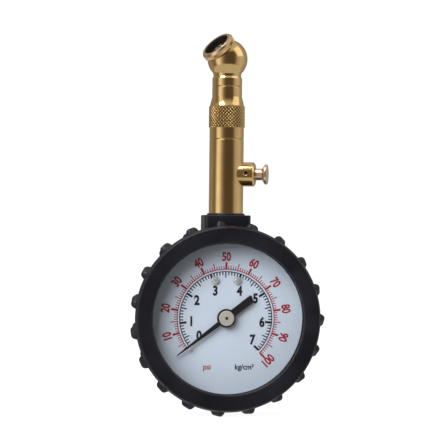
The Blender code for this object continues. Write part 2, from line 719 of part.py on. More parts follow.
def make_sector():
    """A toothed head on an arm, with a short tail for the link; it turns on its own arbor."""
    pivot = SECTOR_PIVOT
    rest = sector_rest_angle()
    step = TURN / SECTOR_TEETH
    first = rest - step * (SECTOR_TEETH_CUT - 1) / 2
    last = rest + step * (SECTOR_TEETH_CUT - 1) / 2
    inner = SECTOR_RADIUS - 2.4 * MM
    head = toothed_edge(SECTOR_TEETH, first, SECTOR_TEETH_CUT)
    head += arc((0, 0), inner, last + step / 2, first - step / 2, 8)
    seat = Matrix.Translation(pivot)
    pieces = [
        prism(capsule((0, 0), polar(inner + MM, rest), 0.9 * MM), GEAR_LOW, GEAR_TOP),
        rod(1.5 * MM, GEAR_LOW, GEAR_TOP, MEDIUM),
        prism(capsule((0, 0), tail_place(), 0.95 * MM), GEAR_LOW, GEAR_TOP),
    ]
    sector = add_object("sector_gear", prism(head, GEAR_LOW, GEAR_TOP), BRASS, DIAL_FRAME @ seat)
    join(sector, pieces, DIAL_FRAME @ seat)
    holes = [rod(ARBOR_RADIUS, GEAR_LOW - MM, GEAR_TOP + MM)]
    holes.append(rod(LINK_PIN_RADIUS + FIT / 2, GEAR_LOW - MM, GEAR_TOP + MM, SMALL, tail_place()))
    cut(sector, holes, DIAL_FRAME @ seat)
    arbor = rod(ARBOR_RADIUS - FIT, BACK_PLATE_LOW - 0.1 * MM, DIAL_BACK - 0.2 * MM)
    add_object("sector_arbor", arbor, STEEL, DIAL_FRAME @ seat)
    pin = rod(LINK_PIN_RADIUS, LINK_LOW - 0.3 * MM, GEAR_TOP + 0.2 * MM, SMALL, tail_place())
    add_object("link_pin_sector", pin, STEEL, DIAL_FRAME @ seat)


def make_link():
    """A flat bar between the sector's tail and the Bourdon tube's tip; its far eye has slack."""
    foot = Vector((*tail_place(), 0)) + SECTOR_PIVOT
    near, far = (foot.x, foot.y), tip_place()
    bar = prism(capsule(near, far, 1.05 * MM), LINK_LOW, LINK_TOP)
    link = add_object("link", bar, BRASS, DIAL_FRAME, foot)
    eyes = [
        rod(LINK_PIN_RADIUS + FIT / 2, LINK_LOW - MM, LINK_TOP + MM, SMALL, near),
        rod(LINK_PIN_RADIUS + LINK_SLACK, LINK_LOW - MM, LINK_TOP + MM, SMALL, far),
    ]
    cut(link, eyes, DIAL_FRAME)


def tube_outline(thickness, width, steps=3):
    """An oblong ring of (radial, level) points about a tube's middle."""
    half = thickness / 2
    straight = width / 2 - half
    return arc((0, straight), half, 0, pi, steps) + arc((0, -straight), half, pi, TURN, steps)


def make_bourdon():
    """A flattened tube bent round the movement, open at both ends, with a plug that carries the pin."""
    steps = 22
    outer = tube_outline(BOURDON_THICKNESS, BOURDON_WIDTH)
    inner = tube_outline(BOURDON_THICKNESS - 2 * BOURDON_WALL, BOURDON_WIDTH - 2 * BOURDON_WALL)
    bm = bmesh.new()
    skins = []
    for outline in (outer, inner):
        rings = []
        for step in range(steps + 1):
            angle = BOURDON_START + (TURN - BOURDON_START) * step / steps
            ring = []
            for radial, level in outline:
                ring.append((*polar(BOURDON_RADIUS + radial, angle), BOURDON_MID + level))
            rings.append([bm.verts.new(point) for point in ring])
        skins.append(rings)
    count = len(outer)
    for rings in skins:
        for low, high in zip(rings, rings[1:]):
            for step in range(count):
                following = (step + 1) % count
                bm.faces.new((low[step], low[following], high[following], high[step]))
    for end in (0, -1):
        for step in range(count):
            following = (step + 1) % count
            outside, inside = skins[0][end], skins[1][end]
            bm.faces.new((outside[step], outside[following], inside[following], inside[step]))
    add_object("bourdon_tube", bm, BRONZE, DIAL_FRAME, bourdon_root())

    half = BOURDON_THICKNESS / 2 + 0.3 * MM
    pin_u, pin_v = tip_place()
    low = 0.15 * MM
    inward = BOURDON_RADIUS - half
    plug = block((inward, BOURDON_RADIUS + half), (low, low + 1.6 * MM), (BOURDON_LOW, BOURDON_TOP))
    tip = add_object("bourdon_tip", plug, BRASS, DIAL_FRAME, bourdon_root())
    lug_back, lug_front = BOURDON_LOW + 1.3 * MM, LINK_LOW - REST
    lug = block((pin_u - 1.1 * MM, inward + 0.3 * MM), (low, pin_v + 1.1 * MM), (lug_back, lug_front))
    join(tip, [lug], DIAL_FRAME)
    hole = rod(LINK_PIN_RADIUS + FIT / 2, lug_back - MM, lug_front + MM, SMALL, (pin_u, pin_v))
    cut(tip, [hole], DIAL_FRAME)
    pin = rod(LINK_PIN_RADIUS, lug_back + FIT, LINK_TOP + 0.3 * MM, SMALL, (pin_u, pin_v))
    add_object("link_pin_tip", pin, STEEL, DIAL_FRAME, bourdon_root())


def bourdon_root():
    """Where the tube leaves the socket block, about which its free end is taken to swing."""
    return (*polar(BOURDON_RADIUS, BOURDON_START), 0)


def pillar_places():
    upper = SECTOR_PIVOT.y + SECTOR_RADIUS + 4.0 * MM
    lower = SECTOR_PIVOT.y + 4.7 * MM
    return {
        "upper_left": (-3.5 * MM, upper),
        "upper_right": (3.5 * MM, upper),
        "lower_left": (-4.4 * MM, lower),
    }


def plate_outline(top):
    pivot = SECTOR_PIVOT
    waist = 5.6 * MM
    foot = arc((pivot.x, pivot.y), 2.4 * MM, pi, TURN, 8)
    shoulder = pivot.y + 5 * MM
    head = [(4.8 * MM, top), (-4.8 * MM, top), (-waist, shoulder)]
    return head + foot + [(waist, shoulder)]


def movement_screw_places():
    middle = BLOCK_FOOT - TONGUE_LENGTH / 2
    return {"left": (-3.0 * MM, middle), "right": (3.0 * MM, middle)}


def make_plates():
    pivots = [(0, 0), (SECTOR_PIVOT.x, SECTOR_PIVOT.y)]
    pillars = pillar_places()
    front_top = pillars["upper_left"][1] + 1.5 * MM
    bearing = ARBOR_RADIUS + FIT
    sheet = prism(plate_outline(front_top), FRONT_PLATE_LOW, FRONT_PLATE_TOP)
    front = add_object("movement_front_plate", sheet, BRASS, DIAL_FRAME)
    holes = [rod(bearing, FRONT_PLATE_LOW - MM, FRONT_PLATE_TOP + MM, SMALL, place) for place in pivots]
    for place in pillars.values():
        holes.append(rod(0.6 * MM, FRONT_PLATE_LOW - MM, FRONT_PLATE_TOP + MM, SMALL, place))
    cut(front, holes, DIAL_FRAME)
    sheet = prism(plate_outline(BLOCK_FOOT - REST), BACK_PLATE_LOW, BACK_PLATE_TOP)
    back = add_object("movement_back_plate", sheet, BRASS, DIAL_FRAME)
    holes = [rod(bearing, BACK_PLATE_LOW - MM, BACK_PLATE_TOP + MM, SMALL, place) for place in pivots]
    for place in movement_screw_places().values():
        wide = SCREW_SHANK_RADIUS + FIT
        holes.append(rod(wide, BACK_PLATE_LOW - MM, BACK_PLATE_TOP + MM, SMALL, place))
    cut(back, holes, DIAL_FRAME)
    for side, place in pillars.items():
        post = rod(PILLAR_RADIUS, BACK_PLATE_TOP + FIT, FRONT_PLATE_LOW - FIT, SMALL, place)
        pillar = add_object("movement_pillar_" + side, post, BRASS, DIAL_FRAME)
        stud = rod(0.5 * MM, FRONT_PLATE_LOW - MM, FRONT_PLATE_TOP + 0.3 * MM, SMALL, place)
        join(pillar, [stud], DIAL_FRAME)
    for side, place in movement_screw_places().items():
        make_screw("movement_screw_" + side, place, BACK_PLATE_TOP + FIT, 2.5 * MM, 1.3 * MM)


# ---------------------------------------------------------------- socket, stem and seals
def make_socket():
    """The brass block that everything in the case is fixed to, with its threaded shank and air way."""
    half = BLOCK_WIDTH / 2
    body = block((-half, half), (BLOCK_FOOT, BLOCK_TOP), (BLOCK_BACK, BLOCK_FRONT))
    socket = add_object("socket_block", body, BRASS, DIAL_FRAME)
    foot = (BLOCK_FOOT - TONGUE_LENGTH, BLOCK_FOOT + 0.5 * MM)
    tongue = block((-half + 0.5 * MM, half - 0.5 * MM), foot, (BLOCK_BACK, TONGUE_FRONT))
    join(socket, [tongue], DIAL_FRAME)
    throat = min(STEM_W - BLOCK_BACK, BLOCK_FRONT - STEM_W)
    shank = [
        (0, BLOCK_TOP - 0.5 * MM),
        (throat, BLOCK_TOP - 0.5 * MM),
        (throat, CASE_INNER - 0.05 * MM),
        (THREAD_RADIUS, CASE_INNER - 0.05 * MM),
        (THREAD_RADIUS, THREAD_TOP - 0.8 * MM),
        (THREAD_RADIUS - 0.5 * MM, THREAD_TOP - 0.3 * MM),
        (0, THREAD_TOP - 0.3 * MM),
    ]
    join(socket, [turned(shank, MEDIUM)], STEM_FRAME)
    root_u, root_v, _ = bourdon_root()
    slot_low = BOURDON_RADIUS * sin(acos(-half / BOURDON_RADIUS)) - BOURDON_THICKNESS / 2 - 0.5 * MM
    slot = block(
        (-half - MM, root_u + 0.4 * MM),
        (slot_low, root_v + BOURDON_THICKNESS / 2 + 0.4 * MM),
        (BOURDON_LOW - 0.3 * MM, BOURDON_TOP + 0.3 * MM),
    )
    holes = [slot]
    for place in dial_screw_places().values():
        wide = SCREW_SHANK_RADIUS + FIT
        holes.append(rod(wide, BLOCK_FRONT - 6 * MM, BLOCK_FRONT + MM, SMALL, place))
    for place in movement_screw_places().values():
        holes.append(rod(SCREW_SHANK_RADIUS + FIT, BLOCK_BACK - MM, TONGUE_FRONT + MM, SMALL, place))
    cut(socket, holes, DIAL_FRAME)
    cut(socket, [rod(0.9 * MM, root_v, THREAD_TOP + MM)], STEM_FRAME)
    across = turned([(0, 0), (0.9 * MM, 0), (0.9 * MM, half), (0, half)], SMALL)
    sideways = frame_along((-1, 0, 0), (0, 0, 1), (0, -STEM_W, root_v))
    cut(socket, [across], sideways)


def make_stem():
    top = STEM_TOP + NIPPLE_LENGTH
    groove_low, groove_top = STEM_TOP + 2.3 * MM, STEM_TOP + 3.3 * MM
    chamber = 2.7 * MM
    spring_seat = STEM_TOP - 7.5 * MM
    ledge = spring_seat - MM
    profile = [
        (THREAD_RADIUS + FIT, STEM_BOTTOM),
        (STEM_RADIUS, STEM_BOTTOM),
        (STEM_RADIUS, STEM_TOP),
        (NIPPLE_RADIUS, STEM_TOP),
        (NIPPLE_RADIUS, groove_low),
        (NIPPLE_RADIUS - 0.7 * MM, groove_low),
        (NIPPLE_RADIUS - 0.7 * MM, groove_top),
        (NIPPLE_RADIUS, groove_top),
        (NIPPLE_RADIUS, top),
        (chamber, top),
        (chamber, spring_seat),
        (1.5 * MM, spring_seat),
        (1.5 * MM, ledge),
        (STEM_BORE, ledge),
        (STEM_BORE, THREAD_TOP + 0.3 * MM),
        (THREAD_RADIUS + FIT, THREAD_TOP),
    ]
    stem = add_object("stem_tube", turned(profile), BRASS, STEM_FRAME)
    cut(stem, [rod(valve_shank_radius() + FIT, 0, STEM_RADIUS + MM, MEDIUM)], VALVE_FRAME)
    washer = collar(THREAD_RADIUS + SEAM, WASHER_RADIUS, WASHER_LOW, WASHER_LOW + WASHER_HEIGHT, MEDIUM)
    add_object("stem_washer", washer, SEAL_RUBBER, STEM_FRAME)
    seal = o_ring(NIPPLE_RADIUS - 0.25 * MM, 0.7 * MM, (groove_low + groove_top) / 2)
    add_object("sleeve_seal", seal, SEAL_RUBBER, STEM_FRAME)
    make_check_valve(chamber, spring_seat, top)


def make_check_valve(chamber, spring_seat, top):
    """A seat at the nipple's mouth, a poppet held up against it, and the spring under the poppet."""
    seat_top = top - 0.3 * MM
    seat_low = seat_top - 1.6 * MM
    seat = collar(1.2 * MM, chamber - 0.05 * MM, seat_low, seat_top, MEDIUM)
    add_object("check_valve_seat", seat, NYLON, STEM_FRAME)
    face = seat_low - FIT / 2
    poppet_low = face - 3.2 * MM
    poppet = [
        (0, poppet_low),
        (0.6 * MM, poppet_low),
        (0.6 * MM, poppet_low + 1.2 * MM),
        (2.0 * MM, poppet_low + 1.2 * MM),
        (2.3 * MM, poppet_low + 1.5 * MM),
        (2.3 * MM, face - 0.4 * MM),
        (1.6 * MM, face),
        (0, face),
    ]
    add_object("check_valve_poppet", turned(poppet, MEDIUM), NYLON, STEM_FRAME)
    low, high = spring_seat + FIT, poppet_low + 1.2 * MM - FIT
    coil("check_valve_spring", 1.7 * MM, 0.3 * MM, low, high, 4, STEM_FRAME)


def coil(name, radius, wire, low, high, turns, frame):
    """A compression spring standing between two levels."""
    sides, steps = 5, 9 * turns
    bm = bmesh.new()
    rings = []
    half = wire / 2
    for step in range(steps + 1):
        angle = TURN * step / 9
        level = low + half + (high - low - wire) * step / steps
        ring = []
        for side in range(sides):
            turn = TURN * side / sides
            across, up = polar(radius + half * cos(turn), angle)
            ring.append(bm.verts.new((across, up, level + half * sin(turn))))
        rings.append(ring)
    close_sweep(bm, rings)
    add_object(name, bm, STEEL, frame)


def make_sleeve():
    """The knurled sleeve screws over the stem's nipple and carries the head's spindle."""
    bore = NIPPLE_RADIUS + SEAM
    step_up = STEM_TOP + NIPPLE_LENGTH + 3.3 * MM
    bevel = 0.35 * MM
    profile = [
        (bore, SLEEVE_LOW),
        (STEM_RADIUS, SLEEVE_LOW),
        (STEM_RADIUS, KNURL_LOW),
        (KNURL_RADIUS, KNURL_LOW + bevel),
        (KNURL_RADIUS, KNURL_TOP - bevel),
        (KNURL_RADIUS - bevel, KNURL_TOP),
        (SLEEVE_NECK_RADIUS, TAPER_TOP),
        (SLEEVE_NECK_RADIUS, SLEEVE_TOP - 0.15 * MM),
        (SLEEVE_NECK_RADIUS - 0.15 * MM, SLEEVE_TOP),
        (SPINDLE_RADIUS + SEAM, SLEEVE_TOP),
        (SPINDLE_RADIUS + SEAM, step_up),
        (bore, step_up),
    ]
    add_object("knurled_sleeve", turned(profile), BRASS, STEM_FRAME)


# ---------------------------------------------------------------- swivelling head and chuck
def make_head():
    clip_low = SPINDLE_BOTTOM + MM
    clip_top = clip_low + 0.8 * MM
    ring_low = HEAD_LOW - 5.4 * MM
    ring_top = ring_low + 1.1 * MM
    groove = SPINDLE_RADIUS - 0.75 * MM
    neck = HEAD_LOW + HEAD_COLLAR
    bevel_radius = SLEEVE_NECK_RADIUS - 0.6 * MM
    profile = [
        (0, SPINDLE_BOTTOM),
        (SPINDLE_RADIUS - 0.3 * MM, SPINDLE_BOTTOM),
        (SPINDLE_RADIUS, SPINDLE_BOTTOM + 0.3 * MM),
        (SPINDLE_RADIUS, clip_low),
        (groove, clip_low),
        (groove, clip_top),
        (SPINDLE_RADIUS, clip_top),
        (SPINDLE_RADIUS, ring_low),
        (groove, ring_low),
        (groove, ring_top),
        (SPINDLE_RADIUS, ring_top),
        (SPINDLE_RADIUS, HEAD_LOW),
        (SLEEVE_NECK_RADIUS - 0.15 * MM, HEAD_LOW),
        (SLEEVE_NECK_RADIUS, HEAD_LOW + 0.15 * MM),
        (SLEEVE_NECK_RADIUS, neck),
        (bevel_radius, neck + HEAD_BEVEL),
    ]
    start = -acos(bevel_radius / BALL_RADIUS)
    profile += arc((0, BALL_HEIGHT), BALL_RADIUS, start, pi / 2, 10)[:-1]
    profile.append((0, BALL_HEIGHT + BALL_RADIUS))
    head = add_object("chuck_head", turned(profile), BRASS, STEM_FRAME)
    floor = 1.2 * MM
    beyond = BALL_RADIUS + MM
    mouth = [
        (0, floor),
        (CHUCK_BORE, floor),
        (CHUCK_BORE, CHUCK_LENGTH),
        (beyond, CHUCK_LENGTH),
        (beyond, beyond),
        (0, beyond),
    ]
    cut(head, [turned(mouth, ROUND)], CHUCK_FRAME)
    cut(head, [rod(AIR_WAY, SPINDLE_BOTTOM - MM, BALL_HEIGHT)], STEM_FRAME)
    cut(head, [rod(AIR_WAY, -0.3 * MM, floor + MM)], CHUCK_FRAME)

    seal = o_ring(SPINDLE_RADIUS - 0.28 * MM, 0.7 * MM, (ring_low + ring_top) / 2)
    add_object("swivel_seal", seal, SEAL_RUBBER, STEM_FRAME)
    clip = collar(groove + 0.05 * MM, NIPPLE_RADIUS - 0.1 * MM, clip_low + FIT, clip_top - FIT, MEDIUM)
    clip_ring = add_object("swivel_clip", clip, STEEL, STEM_FRAME)
    opening = block((0, 2 * NIPPLE_RADIUS), (-0.5 * MM, 0.5 * MM), (clip_low - MM, clip_top + MM))
    cut(clip_ring, [opening], STEM_FRAME)
    make_chuck(floor)


def make_chuck(floor):
    """The rubber seal, the ring that holds it in, and the pin that opens the tyre's valve."""
    seal_low = floor + 1.1 * MM
    seal_top = CHUCK_LENGTH - 0.15 * MM
    ring_low = CHUCK_LENGTH + FIT
    ring_top = ring_low + RING_THICKNESS
    lip = 0.35 * MM
    bevel = 0.3 * MM
    ring = [
        (RING_BORE - lip, ring_low),
        (RING_RADIUS - bevel, ring_low),
        (RING_RADIUS, ring_low + bevel),
        (RING_RADIUS, ring_top - bevel),
        (RING_RADIUS - bevel, ring_top),
        (RING_BORE + 0.1 * MM, ring_top),
        (RING_BORE, ring_top - 0.1 * MM),
        (RING_BORE, ring_low + 0.4 * MM),
        (RING_BORE - lip, ring_low + 0.4 * MM),
    ]
    add_object("chuck_ring", turned(ring), BRASS, CHUCK_FRAME)
    seal = [
        (DEPRESSOR_RADIUS + 0.4 * MM, seal_low),
        (CHUCK_BORE - FIT, seal_low),
        (CHUCK_BORE - FIT, seal_top),
        (DEPRESSOR_RADIUS + 0.9 * MM, seal_top),
        (DEPRESSOR_RADIUS + 0.4 * MM, seal_top - 0.5 * MM),
    ]
    add_object("chuck_seal", turned(seal, MEDIUM), SEAL_RUBBER, CHUCK_FRAME)
    disc_low, disc_top = floor + FIT, seal_low - FIT
    pin_top = ring_top - 1.2 * MM
    pin = [
        (0, disc_low),
        (CHUCK_BORE - FIT, disc_low),
        (CHUCK_BORE - FIT, disc_top),
        (DEPRESSOR_RADIUS, disc_top),
        (DEPRESSOR_RADIUS, pin_top - 0.2 * MM),
        (DEPRESSOR_RADIUS - 0.2 * MM, pin_top),
        (0, pin_top),
    ]
    depressor = add_object("valve_depressor", turned(pin, MEDIUM), BRASS, CHUCK_FRAME)
    ports = []
    for step in range(3):
        centre = polar(DEPRESSOR_RADIUS + 0.5 * MM, TURN * step / 3)
        ports.append(rod(0.6 * MM, disc_low - MM, disc_top + 0.05 * MM, SMALL, centre))
    slot = block((-2 * MM, 2 * MM), (-0.25 * MM, 0.25 * MM), (pin_top - 0.8 * MM, pin_top + MM))
    cut(depressor, ports + [slot], CHUCK_FRAME)


# ---------------------------------------------------------------- bleed valve
def valve_shank_radius():
    return VALVE_BORE + 0.35 * MM


def make_bleed_valve():
    """A body screwed into the stem's side, and a button whose stem pushes a poppet off its seat."""
    seat_low, seat_top = STEM_BORE + 0.3 * MM, STEM_BORE + 1.2 * MM
    chamfer = 0.45 * MM
    outer = [
        (VALVE_BORE, STEM_BORE),
        (VALVE_RADIUS, STEM_BORE),
        (VALVE_RADIUS, VALVE_REACH - chamfer),
        (VALVE_RADIUS - chamfer, VALVE_REACH),
        (VALVE_BORE + 0.2 * MM, VALVE_REACH),
        (VALVE_BORE, VALVE_REACH - 0.2 * MM),
    ]
    body = add_object("bleed_valve_body", turned(outer, ROUND), BRASS, VALVE_FRAME)
    half_saddle = 2 * VALVE_RADIUS
    saddle = rod(STEM_RADIUS + FIT / 2, VALVE_HEIGHT - half_saddle, VALVE_HEIGHT + half_saddle, ROUND)
    cut(body, [saddle], STEM_FRAME)
    shank = [
        (1.1 * MM, seat_low),
        (valve_shank_radius(), seat_low),
        (valve_shank_radius(), STEM_RADIUS + 0.6 * MM),
        (VALVE_BORE, STEM_RADIUS + 0.6 * MM),
        (VALVE_BORE, seat_top),
        (1.1 * MM, seat_top),
    ]
    join(body, [turned(shank, ROUND)], VALVE_FRAME)
    vent_frame = VALVE_FRAME @ frame_along((-1, 0, 0), (0, 0, 1), (0, 0.3 * MM, STEM_RADIUS + 1.3 * MM))
    cut(body, [rod(VENT_RADIUS, MM, VALVE_RADIUS + MM)], vent_frame)

    spool_low = VALVE_REACH - 1.2 * MM
    tip = STEM_BORE - 0.9 * MM
    flare = BUTTON_REACH - 1.9 * MM
    button = [
        (0, tip),
        (0.6 * MM, tip),
        (0.6 * MM, spool_low),
        (BUTTON_STEM_RADIUS, spool_low),
        (BUTTON_STEM_RADIUS, flare),
        (BUTTON_STEM_RADIUS + 0.25 * MM, flare + 0.4 * MM),
        (BUTTON_RADIUS - 0.35 * MM, flare + 0.85 * MM),
        (BUTTON_RADIUS, flare + 1.1 * MM),
        (BUTTON_RADIUS, BUTTON_REACH - 0.3 * MM),
        (BUTTON_RADIUS - 0.3 * MM, BUTTON_REACH),
        (0, BUTTON_REACH),
    ]
    add_object("bleed_button", turned(button, MEDIUM), ROSE_BRASS, VALVE_FRAME)
    seal_top = seat_low - FIT
    seal_low = seal_top - 0.5 * MM
    washer = collar(0.7 * MM, 1.9 * MM, seal_low, seal_top, MEDIUM)
    add_object("bleed_seal", washer, SEAL_RUBBER, VALVE_FRAME)
    poppet_top = seal_low - FIT
    add_object("bleed_poppet", collar(0.7 * MM, 1.9 * MM, tip, poppet_top, MEDIUM), BRASS, VALVE_FRAME)
    room = spool_low - BUTTON_TRAVEL - FIT
    coil("bleed_spring", 1.55 * MM, 0.35 * MM, seat_top + FIT, room, 4, VALVE_FRAME)


def main():
    make_boot()
    make_case()
    make_window()
    make_dial()
    make_pointer()
    make_pinion()
    make_hairspring()
    make_sector()
    make_link()
    make_bourdon()
    make_plates()
    make_socket()
    make_stem()
    make_sleeve()
    make_head()
    make_bleed_valve()


main()
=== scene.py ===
# %% [markdown]
# A dial tyre-pressure gauge: a round gauge in a black rubber boot, a brass stem with a bleed
# button, and a swivelling brass chuck that is pushed onto a tyre's valve.
#
# The sizes and the moving bodies come from a packed engineering model, which is loaded first and
# never changed.  This lesson builds the looks around it.  It could be done by painting the loaded
# parts alone, but their round pieces have few sides, which polished brass shows at once.  So each
# piece that can be seen is made again as a finer mesh in the same place, and the hidden ones only
# get a finish.

import json
from math import acos, atan2, ceil, cos, degrees, floor, pi, radians, sin, sqrt, tan

import bpy
import bmesh
from mathutils import Matrix, Vector


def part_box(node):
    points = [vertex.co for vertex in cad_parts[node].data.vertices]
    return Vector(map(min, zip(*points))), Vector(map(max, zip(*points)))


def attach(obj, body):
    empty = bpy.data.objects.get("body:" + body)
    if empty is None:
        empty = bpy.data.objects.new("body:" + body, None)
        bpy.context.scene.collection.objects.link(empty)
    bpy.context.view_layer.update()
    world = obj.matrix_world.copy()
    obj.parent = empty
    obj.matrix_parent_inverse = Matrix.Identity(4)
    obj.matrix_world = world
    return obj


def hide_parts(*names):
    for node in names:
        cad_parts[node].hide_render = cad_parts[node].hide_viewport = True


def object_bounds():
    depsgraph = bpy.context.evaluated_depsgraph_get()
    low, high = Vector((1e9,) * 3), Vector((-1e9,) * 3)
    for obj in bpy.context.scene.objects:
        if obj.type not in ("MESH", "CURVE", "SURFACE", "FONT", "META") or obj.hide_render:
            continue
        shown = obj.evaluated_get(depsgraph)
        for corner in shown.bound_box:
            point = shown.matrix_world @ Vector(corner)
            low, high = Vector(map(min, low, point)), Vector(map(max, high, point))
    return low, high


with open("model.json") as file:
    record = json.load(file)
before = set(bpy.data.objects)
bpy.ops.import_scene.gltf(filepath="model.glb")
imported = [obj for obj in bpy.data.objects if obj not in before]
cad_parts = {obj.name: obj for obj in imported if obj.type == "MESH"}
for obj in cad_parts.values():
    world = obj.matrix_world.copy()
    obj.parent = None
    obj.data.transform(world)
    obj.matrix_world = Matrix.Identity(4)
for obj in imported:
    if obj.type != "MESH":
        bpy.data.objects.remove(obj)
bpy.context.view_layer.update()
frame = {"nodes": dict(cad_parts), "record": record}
scene = bpy.context.scene

MM = 0.001
TURN = 2 * pi
BODY = "gauge_body"


def middle(node):
    low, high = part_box(node)
    return (low + high) / 2


def half_width(node):
    low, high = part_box(node)
    return (high.x - low.x) / 2


STEM_W = -middle("stem_tube").y
STEM_RADIUS = half_width("stem_tube")
STEM_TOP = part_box("knurled_sleeve")[0].z - 0.15 * MM
STEM_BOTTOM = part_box("stem_tube")[0].z
SLEEVE_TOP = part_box("knurled_sleeve")[1].z
BOOT_DEPTH = -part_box("rubber_boot")[0].y
DIAL_FRONT = -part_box("dial_plate")[0].y
CASE_RADIUS = half_width("gauge_case")
for label, length in (("stem radius", STEM_RADIUS), ("stem axis from the back", STEM_W),
                      ("boot depth", BOOT_DEPTH), ("dial face from the back", DIAL_FRONT)):
    print(label, round(length / MM, 2), "mm")

# %% [markdown]
# Every piece is drawn in a frame of its own.  Dial pieces are drawn as a person sees them: u to
# the right, v up and w towards the reader, with w = 0 at the boot's back.  Stem pieces are turned
# about the stem's axis.  The bleed valve and the chuck each have a frame whose local Z is their
# axis.  The object keeps that frame as its own, so a pattern that runs along local Z follows the
# piece whichever way it points.

# %% Frames
VALVE_TURN = radians(15.5)
VALVE_HEIGHT = middle("bleed_valve_body").z
BALL_HEIGHT = SLEEVE_TOP + 9.2 * MM
CHUCK_AXIS = Vector([m for m in frame["record"]["mounts"] if m["name"] == "valve_mouth"][0]["axis"])


def frame_along(direction, up, origin):
    """A frame whose local Z is the direction and whose local Y leans towards up."""
    z_axis = Vector(direction).normalized()
    x_axis = Vector(up).cross(z_axis).normalized()
    turn = Matrix((x_axis, z_axis.cross(x_axis), z_axis)).transposed().to_4x4()
    return Matrix.Translation(origin) @ turn


DIAL_FRAME = frame_along((0, -1, 0), (0, 0, 1), (0, 0, 0))
STEM_FRAME = Matrix.Translation((0, -STEM_W, 0))
VALVE_FRAME = frame_along((cos(VALVE_TURN), -sin(VALVE_TURN), 0), (0, 0, 1), (0, -STEM_W, VALVE_HEIGHT))
CHUCK_FRAME = frame_along(CHUCK_AXIS, (0, 0, 1), (0, -STEM_W, BALL_HEIGHT))
print("valve axis at", round(VALVE_HEIGHT / MM, 2), "mm, ball centre at", round(BALL_HEIGHT / MM, 2), "mm")

# %% [markdown]
# Most of this gauge comes off a lathe, so the main tool is one that revolves an outline.  A Screw
# modifier would do it too.  A function in bmesh is chosen because each point can then be pushed in
# or out as it goes round, which is how knurls and rubber lugs are raised.  A second function
# rounds the outline's corners first: no machined edge is perfectly sharp, and the small rounds are
# what catch the light.

# %% Outlines and turned pieces
def arc(centre, radius, start, end, steps):
    """Points along an arc, both ends included."""
    points = []
    for step in range(steps + 1):
        angle = start + (end - start) * step / steps
        points.append((centre[0] + radius * cos(angle), centre[1] + radius * sin(angle)))
    return points


def rounded(outline, steps=4):
    """A closed outline whose corners (x, y, fillet) are turned into arcs."""
    points = []
    for index, (x, y, fillet) in enumerate(outline):
        corner = Vector((x, y))
        if fillet == 0:
            points.append((x, y))
            continue
        before = (Vector(outline[index - 1][:2]) - corner).normalized()
        after = (Vector(outline[(index + 1) % len(outline)][:2]) - corner).normalized()
        half = before.angle(after) / 2
        centre = corner + (before + after).normalized() * fillet / sin(half)
        first = corner + before * fillet / tan(half) - centre
        last = corner + after * fillet / tan(half) - centre
        start = atan2(first.y, first.x)
        sweep = (atan2(last.y, last.x) - start + pi) % TURN - pi
        points += arc(centre, fillet, start, start + sweep, steps)
    return points


def subdivided(points, longest, wanted):
    """The same closed outline, with every stretch wanted(start, end) cut into short steps."""
    result = []
    for start, end in zip(points, points[1:] + points[:1]):
        first, last = Vector(start), Vector(end)
        count = ceil((last - first).length / longest) if wanted(start, end) else 1
        result += [tuple(first.lerp(last, step / count)) for step in range(count)]
    return result


def turned(points, segments=96, relief=None, centre=(0, 0)):
    """Revolves a closed outline of (radius, height) points about Z.

    relief(angle, radius, height), where it is given, says what to add to each point's radius.
    """
    bm = bmesh.new()
    rings = []
    for radius, height in points:
        if radius < 1e-7:
            rings.append([bm.verts.new((centre[0], centre[1], height))])
            continue
        ring = []
        for step in range(segments):
            angle = TURN * step / segments
            reach = radius + (relief(angle, radius, height) if relief else 0)
            across = centre[0] + reach * cos(angle)
            along = centre[1] + reach * sin(angle)
            ring.append(bm.verts.new((across, along, height)))
        rings.append(ring)
    for low, high in zip(rings, rings[1:] + rings[:1]):
        if len(low) == 1 and len(high) == 1:
            continue
        for step in range(segments):
            following = (step + 1) % segments
            around = [low[step % len(low)], low[following % len(low)],
                      high[following % len(high)], high[step % len(high)]]
            bm.faces.new(list(dict.fromkeys(around)))
    return bm


def rod(radius, low, high, segments=64, centre=(0, 0)):
    return turned([(0, low), (radius, low), (radius, high), (0, high)], segments, None, centre)


def prism(outline, low, high):
    """Extrudes a flat outline of (u, v) points from one level to another."""
    bm = bmesh.new()
    foot = bm.faces.new([bm.verts.new((u, v, low)) for u, v in outline])
    made = bmesh.ops.extrude_face_region(bm, geom=[foot])
    lifted = [item for item in made["geom"] if isinstance(item, bmesh.types.BMVert)]
    bmesh.ops.translate(bm, verts=lifted, vec=(0, 0, high - low))
    return bm


square = rounded([(0, 0, 1), (9, 0, 1), (9, 9, 1), (0, 9, 1)])
print("outline tools ready: a square with rounded corners has", len(square), "points")

# %% [markdown]
# A mesh becomes a piece once it has a name, a finish and a body to ride on.  Holes and joined
# lumps are made by Boolean modifiers and then applied, as a machinist drills after turning.

# %% Pieces
def add_piece(name, bm, finish, place, body=BODY, sharp=32, **what_it_is):
    """Turns a mesh drawn in a frame into a shown piece.  It may replace nodes; a slot given to it is not
    used.
    """
    bmesh.ops.recalc_face_normals(bm, faces=bm.faces)
    mesh = bpy.data.meshes.new(name)
    bm.to_mesh(mesh)
    bm.free()
    piece = bpy.data.objects.new(name, mesh)
    scene.collection.objects.link(piece)
    piece.matrix_world = place
    mesh.materials.append(finish)
    smooth(mesh, sharp)
    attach(piece, body)
    if "replaces" in what_it_is:
        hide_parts(*what_it_is["replaces"])
    return piece


def smooth(mesh, sharp):
    mesh.shade_smooth()
    mesh.set_sharp_from_angle(angle=radians(sharp))


